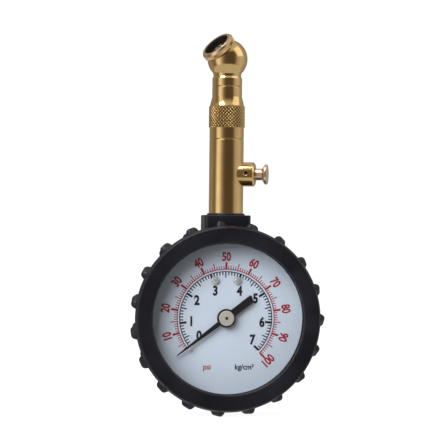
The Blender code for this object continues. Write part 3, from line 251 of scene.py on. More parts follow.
def carve(piece, bm, place, operation='DIFFERENCE', sharp=32):
    """Cuts a mesh drawn in a frame out of a piece, or joins it on."""
    bmesh.ops.recalc_face_normals(bm, faces=bm.faces)
    mesh = bpy.data.meshes.new("tool")
    bm.to_mesh(mesh)
    bm.free()
    tool = bpy.data.objects.new("tool", mesh)
    scene.collection.objects.link(tool)
    tool.matrix_world = place
    modifier = piece.modifiers.new(operation, 'BOOLEAN')
    modifier.operation = operation
    modifier.solver = 'EXACT'
    modifier.object = tool
    bpy.context.view_layer.update()
    result = bpy.data.meshes.new_from_object(piece.evaluated_get(bpy.context.evaluated_depsgraph_get()))
    piece.modifiers.clear()
    piece.data = result
    result.name = piece.name
    smooth(result, sharp)
    bpy.data.objects.remove(tool)
    return piece


print("piece tools ready")

# %% [markdown]
# Finishes are built from noise in the piece's own coordinates, so nothing depends on an unwrapped
# map.  The stretch says how many grains there are to the metre along each axis: a noise that only
# changes along Z gives the rings that a lathe leaves, and one that hardly changes along Z gives
# the streaks of a drawn tube.

# %% Pattern helpers
def new_finish(name, **sockets):
    """A material with a Principled shader; the keywords set its sockets, with _ for a space."""
    finish = bpy.data.materials.new(name)
    finish.use_nodes = True
    shader = finish.node_tree.nodes["Principled BSDF"]
    for socket, value in sockets.items():
        shader.inputs[socket.replace("_", " ")].default_value = value
    return finish


def shader_of(finish):
    return finish.node_tree.nodes["Principled BSDF"]


def grains(finish, stretch, detail=3.0):
    """A noise from 0 to 1 with so many grains to the metre along the piece's X, Y and Z."""
    nodes, links = finish.node_tree.nodes, finish.node_tree.links
    where = nodes.new('ShaderNodeTexCoord')
    sized = nodes.new('ShaderNodeMapping')
    sized.inputs['Scale'].default_value = stretch
    noise = nodes.new('ShaderNodeTexNoise')
    noise.inputs['Scale'].default_value = 1.0
    noise.inputs['Detail'].default_value = detail
    links.new(where.outputs['Object'], sized.inputs['Vector'])
    links.new(sized.outputs['Vector'], noise.inputs['Vector'])
    return noise.outputs[0]


def ramp(finish, factor, *stops):
    """Colours along a factor: each stop is (position, colour)."""
    node = finish.node_tree.nodes.new('ShaderNodeValToRGB')
    finish.node_tree.links.new(factor, node.inputs['Fac'])
    elements = node.color_ramp.elements
    while len(elements) < len(stops):
        elements.new(0.5)
    for element, (position, colour) in zip(elements, stops):
        element.position = position
        element.color = (*colour, 1)
    return node.outputs['Color']


def between(finish, factor, low, high, start=0.3, end=0.7):
    """A factor from start to end, spread from low to high.  Noise mostly lies from 0.3 to 0.7."""
    node = finish.node_tree.nodes.new('ShaderNodeMapRange')
    node.inputs['From Min'].default_value = start
    node.inputs['From Max'].default_value = end
    node.inputs['To Min'].default_value = low
    node.inputs['To Max'].default_value = high
    finish.node_tree.links.new(factor, node.inputs['Value'])
    return node.outputs['Result']


def bump(finish, height, depth, after=None):
    """A relief of a given depth in metres, on top of an earlier one."""
    node = finish.node_tree.nodes.new('ShaderNodeBump')
    node.inputs['Strength'].default_value = 1.0
    node.inputs['Distance'].default_value = depth
    finish.node_tree.links.new(height, node.inputs['Height'])
    if after:
        finish.node_tree.links.new(after, node.inputs['Normal'])
    return node.outputs['Normal']


def maths(tree, operation, *values):
    """A Math node's result; each value is a number or another node's output."""
    node = tree.nodes.new('ShaderNodeMath')
    node.operation = operation
    for socket, value in zip(node.inputs, values):
        if isinstance(value, (int, float)):
            socket.default_value = value
        else:
            tree.links.new(value, socket)
    return node.outputs[0]


def set_by(finish, socket, output):
    finish.node_tree.links.new(output, shader_of(finish).inputs[socket])


def shade(colour, amount):
    return tuple(channel * amount for channel in colour)


print("pattern helpers ready")

# %% [markdown]
# Brass is the finish that sells this object.  Polished brass has no colour of its own to show: it
# tints what it mirrors.  So the base colour is kept plain, a slow noise shifts it slightly, as
# handled brass does, and fine grain breaks up the mirror.  The stem is drawn tube, with streaks
# along it.  The other pieces are turned, with rings round them.

# %% Metal finishes
BRASS_COLOUR = (0.86, 0.585, 0.25)
ROSE_COLOUR = (0.95, 0.74, 0.57)
PLATED_COLOUR = (0.80, 0.79, 0.78)
STEEL_COLOUR = (0.66, 0.65, 0.63)
BRONZE_COLOUR = (0.62, 0.38, 0.20)
ALONG = (2600, 2600, 25)
ROUND_ABOUT = (30, 30, 9000)
ALL_WAYS = (2200, 2200, 2200)


def metal(name, colour, roughness, grain, depth):
    """Metal with a slow change of tint and gloss, and a fine grain in one direction."""
    finish = new_finish(name, Metallic=1.0)
    tint = grains(finish, (160, 160, 160), 4.0)
    set_by(finish, 'Base Color', ramp(finish, tint, (0.3, shade(colour, 0.93)), (0.7, shade(colour, 1.05))))
    fine = grains(finish, grain)
    set_by(finish, 'Roughness', between(finish, fine, roughness * 0.8, roughness * 1.25))
    set_by(finish, 'Normal', bump(finish, fine, depth))
    return finish


drawn_brass = metal("drawn_brass", BRASS_COLOUR, 0.13, ALONG, 0.0016 * MM)
turned_brass = metal("turned_brass", BRASS_COLOUR, 0.13, ROUND_ABOUT, 0.0008 * MM)
rose_brass = metal("rose_brass", ROSE_COLOUR, 0.3, ROUND_ABOUT, 0.0008 * MM)
raw_brass = metal("raw_brass", BRASS_COLOUR, 0.28, ALL_WAYS, 0.004 * MM)
steel = metal("bright_steel", STEEL_COLOUR, 0.24, ROUND_ABOUT, 0.001 * MM)
zinc = metal("zinc_plate", (0.74, 0.77, 0.82), 0.42, ALL_WAYS, 0.003 * MM)
plated = metal("nickel_plate", PLATED_COLOUR, 0.26, ALL_WAYS, 0.001 * MM)
shader_of(plated).inputs['Metallic'].default_value = 0.5
spun_steel = metal("spun_steel", (0.66, 0.6, 0.53), 0.36, ROUND_ABOUT, 0.001 * MM)
shader_of(spun_steel).inputs['Metallic'].default_value = 0.25
bronze = metal("phosphor_bronze", BRONZE_COLOUR, 0.3, ALONG, 0.002 * MM)
metals = (drawn_brass, turned_brass, rose_brass, raw_brass, steel, zinc, plated, spun_steel, bronze)
print("metal finishes:", [finish.name for finish in metals])

# %% [markdown]
# Moulded rubber is nearly black, with a soft sheen and a fine sand-like skin from the mould, and
# it carries a little grey dust.  Paint is smoother: a faint orange peel and a few dull patches.

# %% Rubber, paint, ink and plastic finishes
def moulded(name, colour, roughness, skin=(3800, 3800, 3800), depth=0.012 * MM):
    """Rubber or plastic with a fine moulded skin, uneven gloss and a trace of dust."""
    finish = new_finish(name)
    dust = grains(finish, (90, 90, 90), 6.0)
    stops = ((0.35, shade(colour, 0.85)), (0.72, shade(colour, 1.5)))
    set_by(finish, 'Base Color', ramp(finish, dust, *stops))
    set_by(finish, 'Roughness', between(finish, dust, roughness - 0.05, roughness + 0.09))
    coarse = bump(finish, grains(finish, (500, 500, 500)), 0.02 * MM)
    set_by(finish, 'Normal', bump(finish, grains(finish, skin), depth, coarse))
    return finish


def painted(name, colour, roughness, spread=0.04):
    """Paint or ink: a faint orange peel and a small change of tone."""
    finish = new_finish(name)
    tone = grains(finish, (260, 260, 260), 5.0)
    stops = ((0.3, shade(colour, 1 - spread)), (0.7, shade(colour, 1 + spread)))
    set_by(finish, 'Base Color', ramp(finish, tone, *stops))
    set_by(finish, 'Roughness', between(finish, tone, roughness - 0.05, roughness + 0.05))
    set_by(finish, 'Normal', bump(finish, grains(finish, (1500, 1500, 1500)), 0.003 * MM))
    return finish


boot_rubber = moulded("boot_rubber", (0.0064, 0.0068, 0.011), 0.4)
seal_rubber = moulded("seal_rubber", (0.011, 0.010, 0.010), 0.5, (2500, 2500, 2500), 0.006 * MM)
nylon = moulded("nylon", (0.62, 0.6, 0.52), 0.45)
black_paint = painted("black_paint", (0.012, 0.012, 0.013), 0.33, 0.15)
dial_white = painted("dial_white", (0.77, 0.85, 0.955), 0.42, 0.012)
red_ink = painted("red_ink", (0.42, 0.022, 0.035), 0.5, 0.08)
black_ink = painted("black_ink", (0.012, 0.013, 0.018), 0.45, 0.15)
others = (boot_rubber, seal_rubber, nylon, black_paint, dial_white, red_ink, black_ink)
print("other finishes:", [finish.name for finish in others])

# %% [markdown]
# The lens is clear plastic.  Real bending of light through it would need many more samples and
# would shade the dial behind it, so it is thin glass: straight through, with a mirror film that
# grows towards grazing angles, by Schlick's rule.

# %% Lens finish
HEAD_ON = 0.04


def make_lens_finish():
    finish = bpy.data.materials.new("lens_clear")
    finish.use_nodes = True
    tree = finish.node_tree
    nodes, links = tree.nodes, tree.links
    mirror = nodes["Principled BSDF"]
    mirror.inputs['Metallic'].default_value = 1.0
    mirror.inputs['Base Color'].default_value = (1, 1, 1, 1)
    set_by(finish, 'Roughness', between(finish, grains(finish, (120, 120, 120), 5.0), 0.02, 0.05))
    facing = nodes.new('ShaderNodeLayerWeight')
    facing.inputs['Blend'].default_value = 0.5
    fifth = maths(tree, 'POWER', facing.outputs['Facing'], 5.0)
    scaled = maths(tree, 'MULTIPLY_ADD', fifth, 1 - HEAD_ON, HEAD_ON)
    clear = nodes.new('ShaderNodeBsdfTransparent')
    clear.inputs['Color'].default_value = (0.975, 0.985, 0.995, 1)
    mix = nodes.new('ShaderNodeMixShader')
    links.new(scaled, mix.inputs[0])
    links.new(clear.outputs[0], mix.inputs[1])
    links.new(mirror.outputs[0], mix.inputs[2])
    links.new(mix.outputs[0], nodes["Material Output"].inputs['Surface'])
    return finish


lens_clear = make_lens_finish()
print("lens finish mirrors", round(100 * HEAD_ON), "% head on")

# %% [markdown]
# The boot is one rubber moulding: a cup with a rolled lip that hooks over the bezel, a square neck
# block round the stem, and two rows of slanted tread lugs like a tyre's shoulder.  The lugs could
# be separate lumps joined on, but rubber never meets rubber in a hard line.  So the side wall is
# turned with many rings, and a height function raises each lug out of it as a smooth pill.

# %% The rubber boot
LUG_COUNT = 19
LUG_FIRST = radians(94)
LUG_HALF_LENGTH = 2.6 * MM
LUG_HALF_WIDTH = 1.4 * MM
LUG_FRONT_HEIGHT = 1.7 * MM
LUG_BACK_HEIGHT = 1.2 * MM
LUG_SLANT = radians(40)
LUG_INSET = 4.5 * MM
BOOT_RADIUS = CASE_RADIUS + 3.7 * MM
BOOT_TAPER = 1.8 * MM
LIP_RADIUS = CASE_RADIUS - 1.95 * MM
LIP_BACK = BOOT_DEPTH - 2.4 * MM
LIP_DISH = 0.5 * MM
NECK_HALF = 7.6 * MM
SKIRT_BACK = -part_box("bezel_ring")[1].y


def wall_radius(level):
    """The boot's side leans in a little towards the back."""
    return BOOT_RADIUS - BOOT_TAPER * (1 - level / BOOT_DEPTH)


def lug_height(angle, radius, height):
    """How far the boot's side is raised at an angle and a height above its back."""
    if radius < wall_radius(height) - 1.2 * MM:
        return 0
    pitch = TURN / LUG_COUNT
    off_angle = (angle - LUG_FIRST + pitch / 2) % pitch - pitch / 2
    front = height > BOOT_DEPTH / 2
    level = height - (BOOT_DEPTH - LUG_INSET if front else LUG_INSET)
    lean = LUG_SLANT if front else -LUG_SLANT
    tall = LUG_FRONT_HEIGHT if front else LUG_BACK_HEIGHT
    rise = 0
    for neighbour in (-pitch, 0, pitch):
        across = (off_angle + neighbour) * BOOT_RADIUS
        along = across * sin(lean) + level * cos(lean)
        aside = across * cos(lean) - level * sin(lean)
        beyond = max(0.0, abs(along) - LUG_HALF_LENGTH + LUG_HALF_WIDTH)
        reach = sqrt(aside * aside + beyond * beyond) / LUG_HALF_WIDTH
        if reach < 1:
            rise = max(rise, tall * sqrt(1 - reach * reach))
    return rise


def boot_outline():
    inner = CASE_RADIUS + 0.15 * MM
    groove = CASE_RADIUS + 0.85 * MM
    step = SKIRT_BACK - 0.15 * MM
    corners = [
        (0, 0, 0),
        (wall_radius(0), 0, 1.8 * MM),
        (BOOT_RADIUS, BOOT_DEPTH - 1.9 * MM, 1.0 * MM),
        (BOOT_RADIUS - 0.65 * MM, BOOT_DEPTH, 0.55 * MM),
        (LIP_RADIUS, BOOT_DEPTH - LIP_DISH, 0.5 * MM),
        (LIP_RADIUS, LIP_BACK, 0.2 * MM),
        (groove, LIP_BACK, 0),
        (groove, step, 0),
        (inner, step, 0),
        (inner, 3.0 * MM, 0),
        (0, 3.0 * MM, 0),
    ]
    return subdivided(rounded(corners, 6), 0.34 * MM, on_the_wall)


def on_the_wall(start, end):
    outside = min(start[0], end[0]) > wall_radius(0) - 0.9 * MM
    return outside and max(start[1], end[1]) < BOOT_DEPTH - 0.05 * MM


boot = add_piece("boot", turned(boot_outline(), LUG_COUNT * 26, lug_height), boot_rubber, DIAL_FRAME,
                 sharp=50, replaces=["rubber_boot"], slot="boot_rubber")
print("boot:", len(boot.data.polygons), "faces before its neck is joined on")

# %% [markdown]
# The neck block is a rounded box whose foot is sunk in the wall, with a low rolled lip where the
# stem comes out.  It is joined on, and then the stem's hole is bored through both.

# %% The boot's neck
NECK_TOP = BOOT_RADIUS + 3.45 * MM
NECK_FRONT = STEM_W + 7.0 * MM
NECK_BACK = STEM_W - 8.0 * MM
STEM_HOLE = STEM_RADIUS + 0.05 * MM


def neck_block():
    """A box with rounded upright corners and a softly rounded top, drawn in the dial frame."""
    corners = [(NECK_HALF, NECK_FRONT, 1.3 * MM), (-NECK_HALF, NECK_FRONT, 1.3 * MM),
               (-NECK_HALF, NECK_BACK, 1.3 * MM), (NECK_HALF, NECK_BACK, 1.3 * MM)]
    bm = prism(rounded(corners, 8), BOOT_RADIUS - 2.4 * MM, NECK_TOP)
    top = [edge for edge in bm.edges if all(v.co.z > NECK_TOP - MM for v in edge.verts)]
    bmesh.ops.bevel(bm, geom=top, offset=0.5 * MM, segments=4, profile=0.6, affect='EDGES')
    bm.transform(Matrix(((1, 0, 0, 0), (0, 0, 1, 0), (0, 1, 0, 0), (0, 0, 0, 1))))
    return bm


def neck_lip():
    lip = rounded([(STEM_HOLE - MM, NECK_TOP - MM, 0), (STEM_HOLE + 0.55 * MM, NECK_TOP - MM, 0),
                   (STEM_HOLE + 0.55 * MM, NECK_TOP + 0.6 * MM, 0.35 * MM),
                   (STEM_HOLE - MM, NECK_TOP + 0.6 * MM, 0)])
    return turned(lip)


carve(boot, neck_block(), DIAL_FRAME, 'UNION', 50)
carve(boot, neck_lip(), STEM_FRAME, 'UNION', 50)
carve(boot, rod(STEM_HOLE, CASE_RADIUS - 3 * MM, NECK_TOP + 2 * MM, 96), STEM_FRAME, 'DIFFERENCE', 50)
print("boot with neck:", len(boot.data.polygons), "faces")

# %% [markdown]
# Behind the lip sit the pressed steel case, its bezel, a rubber gasket and the lens.  Only thin
# rings of them show, but those rings are the lines that frame the dial: the dark bezel, and the
# plated wall of the case that mirrors the white dial.

# %% Case, bezel, gasket and lens
CASE_INNER = CASE_RADIUS - 1.0 * MM
MOUTH_RADIUS = CASE_RADIUS - 0.5 * MM
CASE_MOUTH = BOOT_DEPTH - 3.15 * MM
LENS_FRONT = -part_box("lens")[0].y
LENS_BACK = -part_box("lens")[1].y
GASKET_BACK = -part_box("lens_gasket")[1].y
CASE_LEDGE = GASKET_BACK - 0.1 * MM
CASE_BACK = -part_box("gauge_case")[1].y


def ring_piece(name, corners, finish, **what_it_is):
    return add_piece(name, turned(rounded(corners), 160), finish, DIAL_FRAME, **what_it_is)


case = ring_piece("case_shell", [
    (0, CASE_BACK, 0), (CASE_RADIUS, CASE_BACK, 1.2 * MM), (CASE_RADIUS, CASE_MOUTH, 0.1 * MM),
    (MOUTH_RADIUS, CASE_MOUTH, 0.1 * MM), (MOUTH_RADIUS, CASE_LEDGE, 0), (CASE_INNER, CASE_LEDGE, 0.1 * MM),
    (CASE_INNER, CASE_BACK + 1.2 * MM, 0.8 * MM), (0, CASE_BACK + 1.2 * MM, 0),
], zinc, replaces=["gauge_case"], slot="black_steel")
carve(case, rod(4.6 * MM, CASE_INNER - 2 * MM, CASE_RADIUS + MM), STEM_FRAME)
bezel_back = BOOT_DEPTH - 3.05 * MM
bezel_front = BOOT_DEPTH - 2.5 * MM
flange = LIP_RADIUS - 0.3 * MM
bezel_edge = CASE_RADIUS + 0.7 * MM
skirt_inner = CASE_RADIUS + 0.15 * MM
ring_piece("bezel", [
    (flange, bezel_back, 0.1 * MM), (skirt_inner, bezel_back, 0), (skirt_inner, SKIRT_BACK, 0),
    (bezel_edge, SKIRT_BACK, 0.1 * MM), (bezel_edge, bezel_front, 0.5 * MM),
    (flange, bezel_front, 0.2 * MM),
], black_paint, replaces=["bezel_ring"], slot="black_steel")
gasket_inner = CASE_INNER + 0.02 * MM
gasket_front = LENS_BACK - 0.1 * MM
lens_edge = MOUTH_RADIUS - 0.1 * MM
ring_piece("gasket", [
    (gasket_inner, GASKET_BACK, 0.1 * MM), (lens_edge, GASKET_BACK, 0.1 * MM),
    (lens_edge, gasket_front, 0.1 * MM), (gasket_inner, gasket_front, 0.1 * MM),
], seal_rubber, replaces=["lens_gasket"], slot="seal_rubber")
ring_piece("window", [
    (0, LENS_BACK, 0), (lens_edge, LENS_BACK, 0.2 * MM),
    (lens_edge, LENS_FRONT, 0.5 * MM), (0, LENS_FRONT, 0),
], lens_clear, replaces=["lens"], slot="clear_plastic")
print("case, bezel, gasket and lens: lens", round((LENS_FRONT - LENS_BACK) / MM, 2), "mm thick")

# %% [markdown]
# The dial is a painted plate with two printed scales.  They could be a texture, but a picture has
# one resolution and needs a map.  Here each printed line is a very thin solid that lies on the
# plate, as a thick screen-printed ink does, so the scales come out of a few numbers: pounds from 0
# to 100 over 270 degrees in red, and kilograms in black inside them.

# %% The dial plate
DIAL_RADIUS = CASE_INNER - 0.25 * MM
INK = 0.03 * MM
ZERO = radians(225)
PER_PSI = -radians(2.7)
PER_KILO = -radians(38.4)

dial = ring_piece("dial_face", [
    (0, DIAL_FRONT - 0.6 * MM, 0), (DIAL_RADIUS, DIAL_FRONT - 0.6 * MM, 0.1 * MM),
    (DIAL_RADIUS, DIAL_FRONT, 0.12 * MM), (0, DIAL_FRONT, 0),
], dial_white, replaces=["dial_plate"], slot="dial_white")
carve(dial, rod(1.2 * MM, DIAL_FRONT - 2 * MM, DIAL_FRONT + MM, 32), DIAL_FRAME)
print("dial plate:", round(DIAL_RADIUS / MM, 2), "mm in radius")

# %% The printed scales
RED_LINE = 16.1 * MM
BLACK_LINE = 15.3 * MM
SCALE_START = radians(217.8)


def print_tick(bm, angle, start, end, width, base=DIAL_FRONT):
    """One printed line along a spoke, as a thin closed box."""
    spoke = Vector((cos(angle), sin(angle), 0))
    aside = Vector((-sin(angle), cos(angle), 0)) * width / 2
    flat = [spoke * start + aside, spoke * start - aside, spoke * end - aside, spoke * end + aside]
    low = [bm.verts.new(p + Vector((0, 0, base - INK))) for p in flat]
    high = [bm.verts.new(p + Vector((0, 0, base + INK))) for p in flat]
    bm.faces.new(low)
    bm.faces.new(high)
    for step in range(4):
        following = (step + 1) % 4
        bm.faces.new((low[step], low[following], high[following], high[step]))


def print_arc(bm, radius, width, start, end, steps=150):
    """A printed arc of a given width, as a thin closed band."""
    sections = []
    for step in range(steps + 1):
        angle = start + (end - start) * step / steps
        section = []
        for reach, level in ((-width, -INK), (width, -INK), (width, INK), (-width, INK)):
            r = radius + reach / 2
            section.append(bm.verts.new((r * cos(angle), r * sin(angle), DIAL_FRONT + level)))
        sections.append(section)
    for low, high in zip(sections, sections[1:]):
        for step in range(4):
            following = (step + 1) % 4
            bm.faces.new((low[step], low[following], high[following], high[step]))
    bm.faces.new(sections[0])
    bm.faces.new(sections[-1])


def print_scale(name, ink, line, direction, zero, per_division, count, medium, major, reaches, widths):
    """A scale line with short, medium and long ticks on one side of it."""
    bm = bmesh.new()
    width = 0.3 * MM
    last = zero + per_division * count
    print_arc(bm, line, width, SCALE_START, last + per_division * 0.1)
    hidden = ceil((SCALE_START - zero) / per_division)
    for mark in range(hidden, count + 1):
        kind = 2 if mark % major == 0 else 1 if mark % medium == 0 else 0
        start = line + direction * width * 0.45
        print_tick(bm, zero + per_division * mark, start, line + direction * reaches[kind], widths[kind])
    return add_piece(name, bm, ink, DIAL_FRAME)


print_scale("print_psi_ticks", red_ink, RED_LINE, 1, ZERO, PER_PSI, 100, 5, 10,
            (1.1 * MM, 2.2 * MM, 2.3 * MM), (0.29 * MM, 0.32 * MM, 0.68 * MM))
print_scale("print_kilo_ticks", black_ink, BLACK_LINE, -1, ZERO, PER_KILO / 10, 70, 5, 10,
            (1.15 * MM, 1.95 * MM, 2.2 * MM), (0.37 * MM, 0.4 * MM, 0.72 * MM))
print("scales printed from", round(degrees(SCALE_START), 1), "degrees, just above the resting pointer")

# %% [markdown]
# The numerals are condensed and bold, so Blender's own letters are made slimmer and a little heavier.  The
# red ones turn with the scale, with their tops outward, but for 100, which would be upside down and is
# turned round.  The black ones stand upright, so each is placed one by one, as an angle and a reach in
# millimetres, where it clears its ticks.

# %% The printed numerals
def print_words(name, ink, words):
    """Thin printed text: each entry is (text, u, v, turn, height, slimness, weight)."""
    bm = bmesh.new()
    for text, u, v, turn, height, slim, weight in words:
        curve = bpy.data.curves.new(name, 'FONT')
        curve.body = text
        curve.align_x = 'CENTER'
        curve.align_y = 'CENTER'
        curve.size = 1.0
        curve.extrude = INK / height
        curve.offset = weight
        curve.resolution_u = 5
        holder = bpy.data.objects.new(name, curve)
        scene.collection.objects.link(holder)
        bpy.context.view_layer.update()
        mesh = bpy.data.meshes.new_from_object(holder.evaluated_get(bpy.context.evaluated_depsgraph_get()))
        size = height * 1.38
        place = Matrix.Translation((u, v, DIAL_FRONT)) @ Matrix.Rotation(turn, 4, 'Z')
        mesh.transform(place @ Matrix.Diagonal((size * slim, size, size, 1)))
        bm.from_mesh(mesh)
        bpy.data.objects.remove(holder)
    return add_piece(name, bm, ink, DIAL_FRAME)


PSI_REACH = 20.1 * MM


def psi_words():
    words = []
    for psi in range(10, 101, 10):
        angle = ZERO + PER_PSI * psi
        turn = angle + (pi / 2 if psi == 100 else -pi / 2)
        u, v = PSI_REACH * cos(angle), PSI_REACH * sin(angle)
        words.append((str(psi), u, v, turn, 2.8 * MM, 0.76, 0.036))
    words.append(("psi", -6.1 * MM, -16.2 * MM, 0, 1.95 * MM, 0.9, 0.018))
    return words


KILO_PLACES = ((210, 10.7), (183, 11.9), (148, 11.9), (113, 10.3),
               (67, 10.3), (37, 11.7), (-4, 11.6), (-38, 10.7))


def kilo_words():
    words = []
    for kilo, (degrees, reach) in enumerate(KILO_PLACES):
        angle = radians(degrees)
        u = reach * MM * cos(angle) + 0.45 * MM
        v = reach * MM * sin(angle) - 0.65 * MM
        words.append((str(kilo), u, v, 0, 3.1 * MM, 0.8, 0.046))
    words.append(("kg/cm²", 6.3 * MM, -16.2 * MM, 0, 1.85 * MM, 0.92, 0.024))
    return words


print_words("print_psi_numbers", red_ink, psi_words())
print_words("print_kilo_numbers", black_ink, kilo_words())
print("numerals printed")

# %% [markdown]
# The pointer is stamped from thin sheet with a slim blade, a broad tail with a slanted end, and a
# black boss under a bright cap.  Its edges get a small bevel, because a stamped edge shows as a
# fine line of light.

# %% The pointer and its cap
POINTER_REST = radians(217.5)
POINTER_BACK = DIAL_FRONT + 1.2 * MM
POINTER_FRONT = POINTER_BACK + 0.4 * MM
BOSS_FRONT = POINTER_FRONT + 0.7 * MM


def pointer_blade():
    outline = [(2.7, 0.8), (-2.7, 1.18), (-10.2, 1.28), (-11.2, -0.88), (-10.7, -1.28),
               (-2.7, -1.18), (2.7, -0.8), (20.2, -0.17), (20.6, 0), (20.2, 0.17)]
    bm = prism([(x * MM, y * MM) for x, y in outline], POINTER_BACK, POINTER_FRONT)
    rim = [edge for edge in bm.edges if all(v.co.z > POINTER_FRONT - INK for v in edge.verts)]
    bmesh.ops.bevel(bm, geom=rim, offset=0.07 * MM, segments=2, affect='EDGES')
    bm.transform(Matrix.Rotation(POINTER_REST, 4, 'Z'))
    return bm


pointer = add_piece("needle", pointer_blade(), black_paint, DIAL_FRAME, "pointer_set",
                    replaces=["pointer"], slot="pointer_black")
boss = rounded([(0, POINTER_BACK - 0.4 * MM, 0), (1.6 * MM, POINTER_BACK - 0.4 * MM, 0),
                (3.1 * MM, POINTER_BACK, 0.1 * MM), (3.1 * MM, BOSS_FRONT, 0.35 * MM), (0, BOSS_FRONT, 0)])
carve(pointer, turned(boss, 72), DIAL_FRAME, 'UNION')
carve(pointer, rod(0.7 * MM, POINTER_BACK - MM, BOSS_FRONT + MM, 32), DIAL_FRAME)
cap_back = BOSS_FRONT + 0.1 * MM
cap_front = BOSS_FRONT + 0.55 * MM
ring_groove = 0.07 * MM
cap = rounded([(0, cap_back, 0), (2.5 * MM, cap_back, 0), (2.5 * MM, cap_front, 0.2 * MM),
               (1.75 * MM, cap_front, 0), (1.65 * MM, cap_front - ring_groove, 0),
               (1.45 * MM, cap_front - ring_groove, 0), (1.35 * MM, cap_front, 0),
               (0.5 * MM, cap_front, 0.06 * MM), (0.4 * MM, cap_front - 0.3 * MM, 0.05 * MM),
               (0, cap_front - 0.3 * MM, 0)])
needle_cap = add_piece("needle_cap", turned(cap, 72), spun_steel, DIAL_FRAME, "pointer_set",
                       replaces=["pointer_cap"], slot="steel")
# The faces in the cap's small centre dimple take black paint, so the dimple is dark.
needle_cap.data.materials.append(black_paint)
for face in needle_cap.data.polygons:
    if face.center.xy.length < 0.45 * MM and face.center.z > cap_back + INK:
        face.material_index = 1
print("pointer: blade", len(pointer.data.polygons), "faces")

# %% [markdown]
# Two domed rivet screws hold the dial to the block behind it, and a small pin stops the resting
# pointer.  They are bright plated, and half dull, so that they read as pale beads on the dial.

# %% Dial screws and stop pin
SCREW_REACH = 12.9 * MM
SCREW_SPREAD = radians(16.5)
SCREW_RADIUS = 1.37 * MM


def domed_screw(name, angle, node):
    centre = (SCREW_REACH * cos(angle), SCREW_REACH * sin(angle))
    seat = DIAL_FRONT + 0.1 * MM
    crown = 1.0 * MM
    dome = [(0, seat - 5.5 * MM), (0.8 * MM, seat - 5.5 * MM), (0.8 * MM, seat), (SCREW_RADIUS, seat)]
    dome += [(SCREW_RADIUS * cos(a), seat + 0.3 * MM + (crown - 0.3 * MM) * sin(a))
             for a in (radians(10 * step) for step in range(9))]
    dome.append((0, seat + crown))
    return add_piece(name, turned(dome, 40, None, centre), plated, DIAL_FRAME,
                     replaces=[node], slot="steel")


domed_screw("dial_screw_dome_left", pi / 2 + SCREW_SPREAD, "dial_screw_left")
domed_screw("dial_screw_dome_right", pi / 2 - SCREW_SPREAD, "dial_screw_right")
pin_middle = middle("pointer_stop_pin")
pin_front = -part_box("pointer_stop_pin")[0].y
pin_back = -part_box("pointer_stop_pin")[1].y
pin_radius = 0.5 * MM
pin = rounded([(0, pin_back, 0), (pin_radius, pin_back, 0),
               (pin_radius, pin_front, 0.25 * MM), (0, pin_front, 0)])
add_piece("stop_pin", turned(pin, 28, None, (pin_middle.x, pin_middle.z)), plated, DIAL_FRAME,
          replaces=["pointer_stop_pin"], slot="steel")
print("two screws and a stop pin")

# %% [markdown]
# The stem is a length of drawn brass tube.  Above a fine seam it carries a sleeve with a band of diamond
# knurl, a short cone and a slim neck.  A knurl is two sets of grooves that cross: at each point the nearer
# groove of the two sets says how deep the surface is.  The mesh has eight steps to a diamond, so that the
# pyramids come out crisp.  Old polish stays in the grooves, so the band's finish is duller there.  Its
# colour is also painted brown below the crests, which is partly that old polish and partly painted shade in
# the grooves.

# %% The stem tube
SEAM_ROUND = 0.16 * MM
TUBE_BORE = 3.0 * MM
NIPPLE_RADIUS = 4.2 * MM
NIPPLE_TOP = STEM_TOP + 4.1 * MM
VALVE_CHAMBER = 2.7 * MM
CHAMBER_FLOOR = STEM_TOP - 7.5 * MM
AIR_WAY = 1.5 * MM
WEB_LOW = CHAMBER_FLOOR - MM
tube = rounded([
    (TUBE_BORE, STEM_BOTTOM, 0), (STEM_RADIUS, STEM_BOTTOM, 0.1 * MM), (STEM_RADIUS, STEM_TOP, SEAM_ROUND),
    (NIPPLE_RADIUS, STEM_TOP, 0), (NIPPLE_RADIUS, NIPPLE_TOP, 0.1 * MM), (VALVE_CHAMBER, NIPPLE_TOP, 0),
    (VALVE_CHAMBER, CHAMBER_FLOOR, 0), (AIR_WAY, CHAMBER_FLOOR, 0), (AIR_WAY, WEB_LOW, 0),
    (TUBE_BORE, WEB_LOW, 0),
])
stem = add_piece("stem_barrel", turned(tube, 128), drawn_brass, STEM_FRAME,
                 replaces=["stem_tube"], slot="brass")
carve(stem, rod(2.75 * MM, 0, STEM_RADIUS + MM, 48), VALVE_FRAME)
print("stem tube:", round((STEM_TOP - STEM_BOTTOM) / MM, 1), "mm long")

# %% The knurled sleeve
DIAMONDS = 32
KNURL_RADIUS = STEM_RADIUS + 0.28 * MM
KNURL_LOW = STEM_TOP + 3.8 * MM
KNURL_HIGH = KNURL_LOW + 7.3 * MM
KNURL_DEPTH = 0.27 * MM
KNURL_FLAT = 1.85
GUARD = 0.03 * MM
# The grooves' colour: grime and painted shade together.
GROOVE_GRIME_AND_SHADE = (0.2, 0.11, 0.035)
BAND_DULLER = 0.2
NECK_RADIUS = STEM_RADIUS - 0.75 * MM
TAPER_TOP = KNURL_HIGH + 2.95 * MM


def groove_distance(phase):
    """0 on a groove and 1 midway between two, for a phase that grows by 1 a groove."""
    return 1 - abs(2 * (phase - floor(phase)) - 1)


def knurl(angle, radius, height):
    """Depth of a diamond knurl, fading in over the band's chamfered ends."""
    if radius < STEM_RADIUS or not KNURL_LOW + INK < height < KNURL_HIGH - INK:
        return 0
    across = angle / TURN * DIAMONDS
    along = (height - KNURL_LOW) / (TURN * KNURL_RADIUS / DIAMONDS)
    flank = min(groove_distance(across + along), groove_distance(across - along))
    return KNURL_DEPTH * (min(1.0, flank * KNURL_FLAT) - 1)


def on_the_band(start, end):
    inside = min(start[1], end[1]) >= KNURL_LOW - INK and max(start[1], end[1]) <= KNURL_HIGH + INK
    return inside and min(start[0], end[0]) > STEM_RADIUS - 0.1 * MM


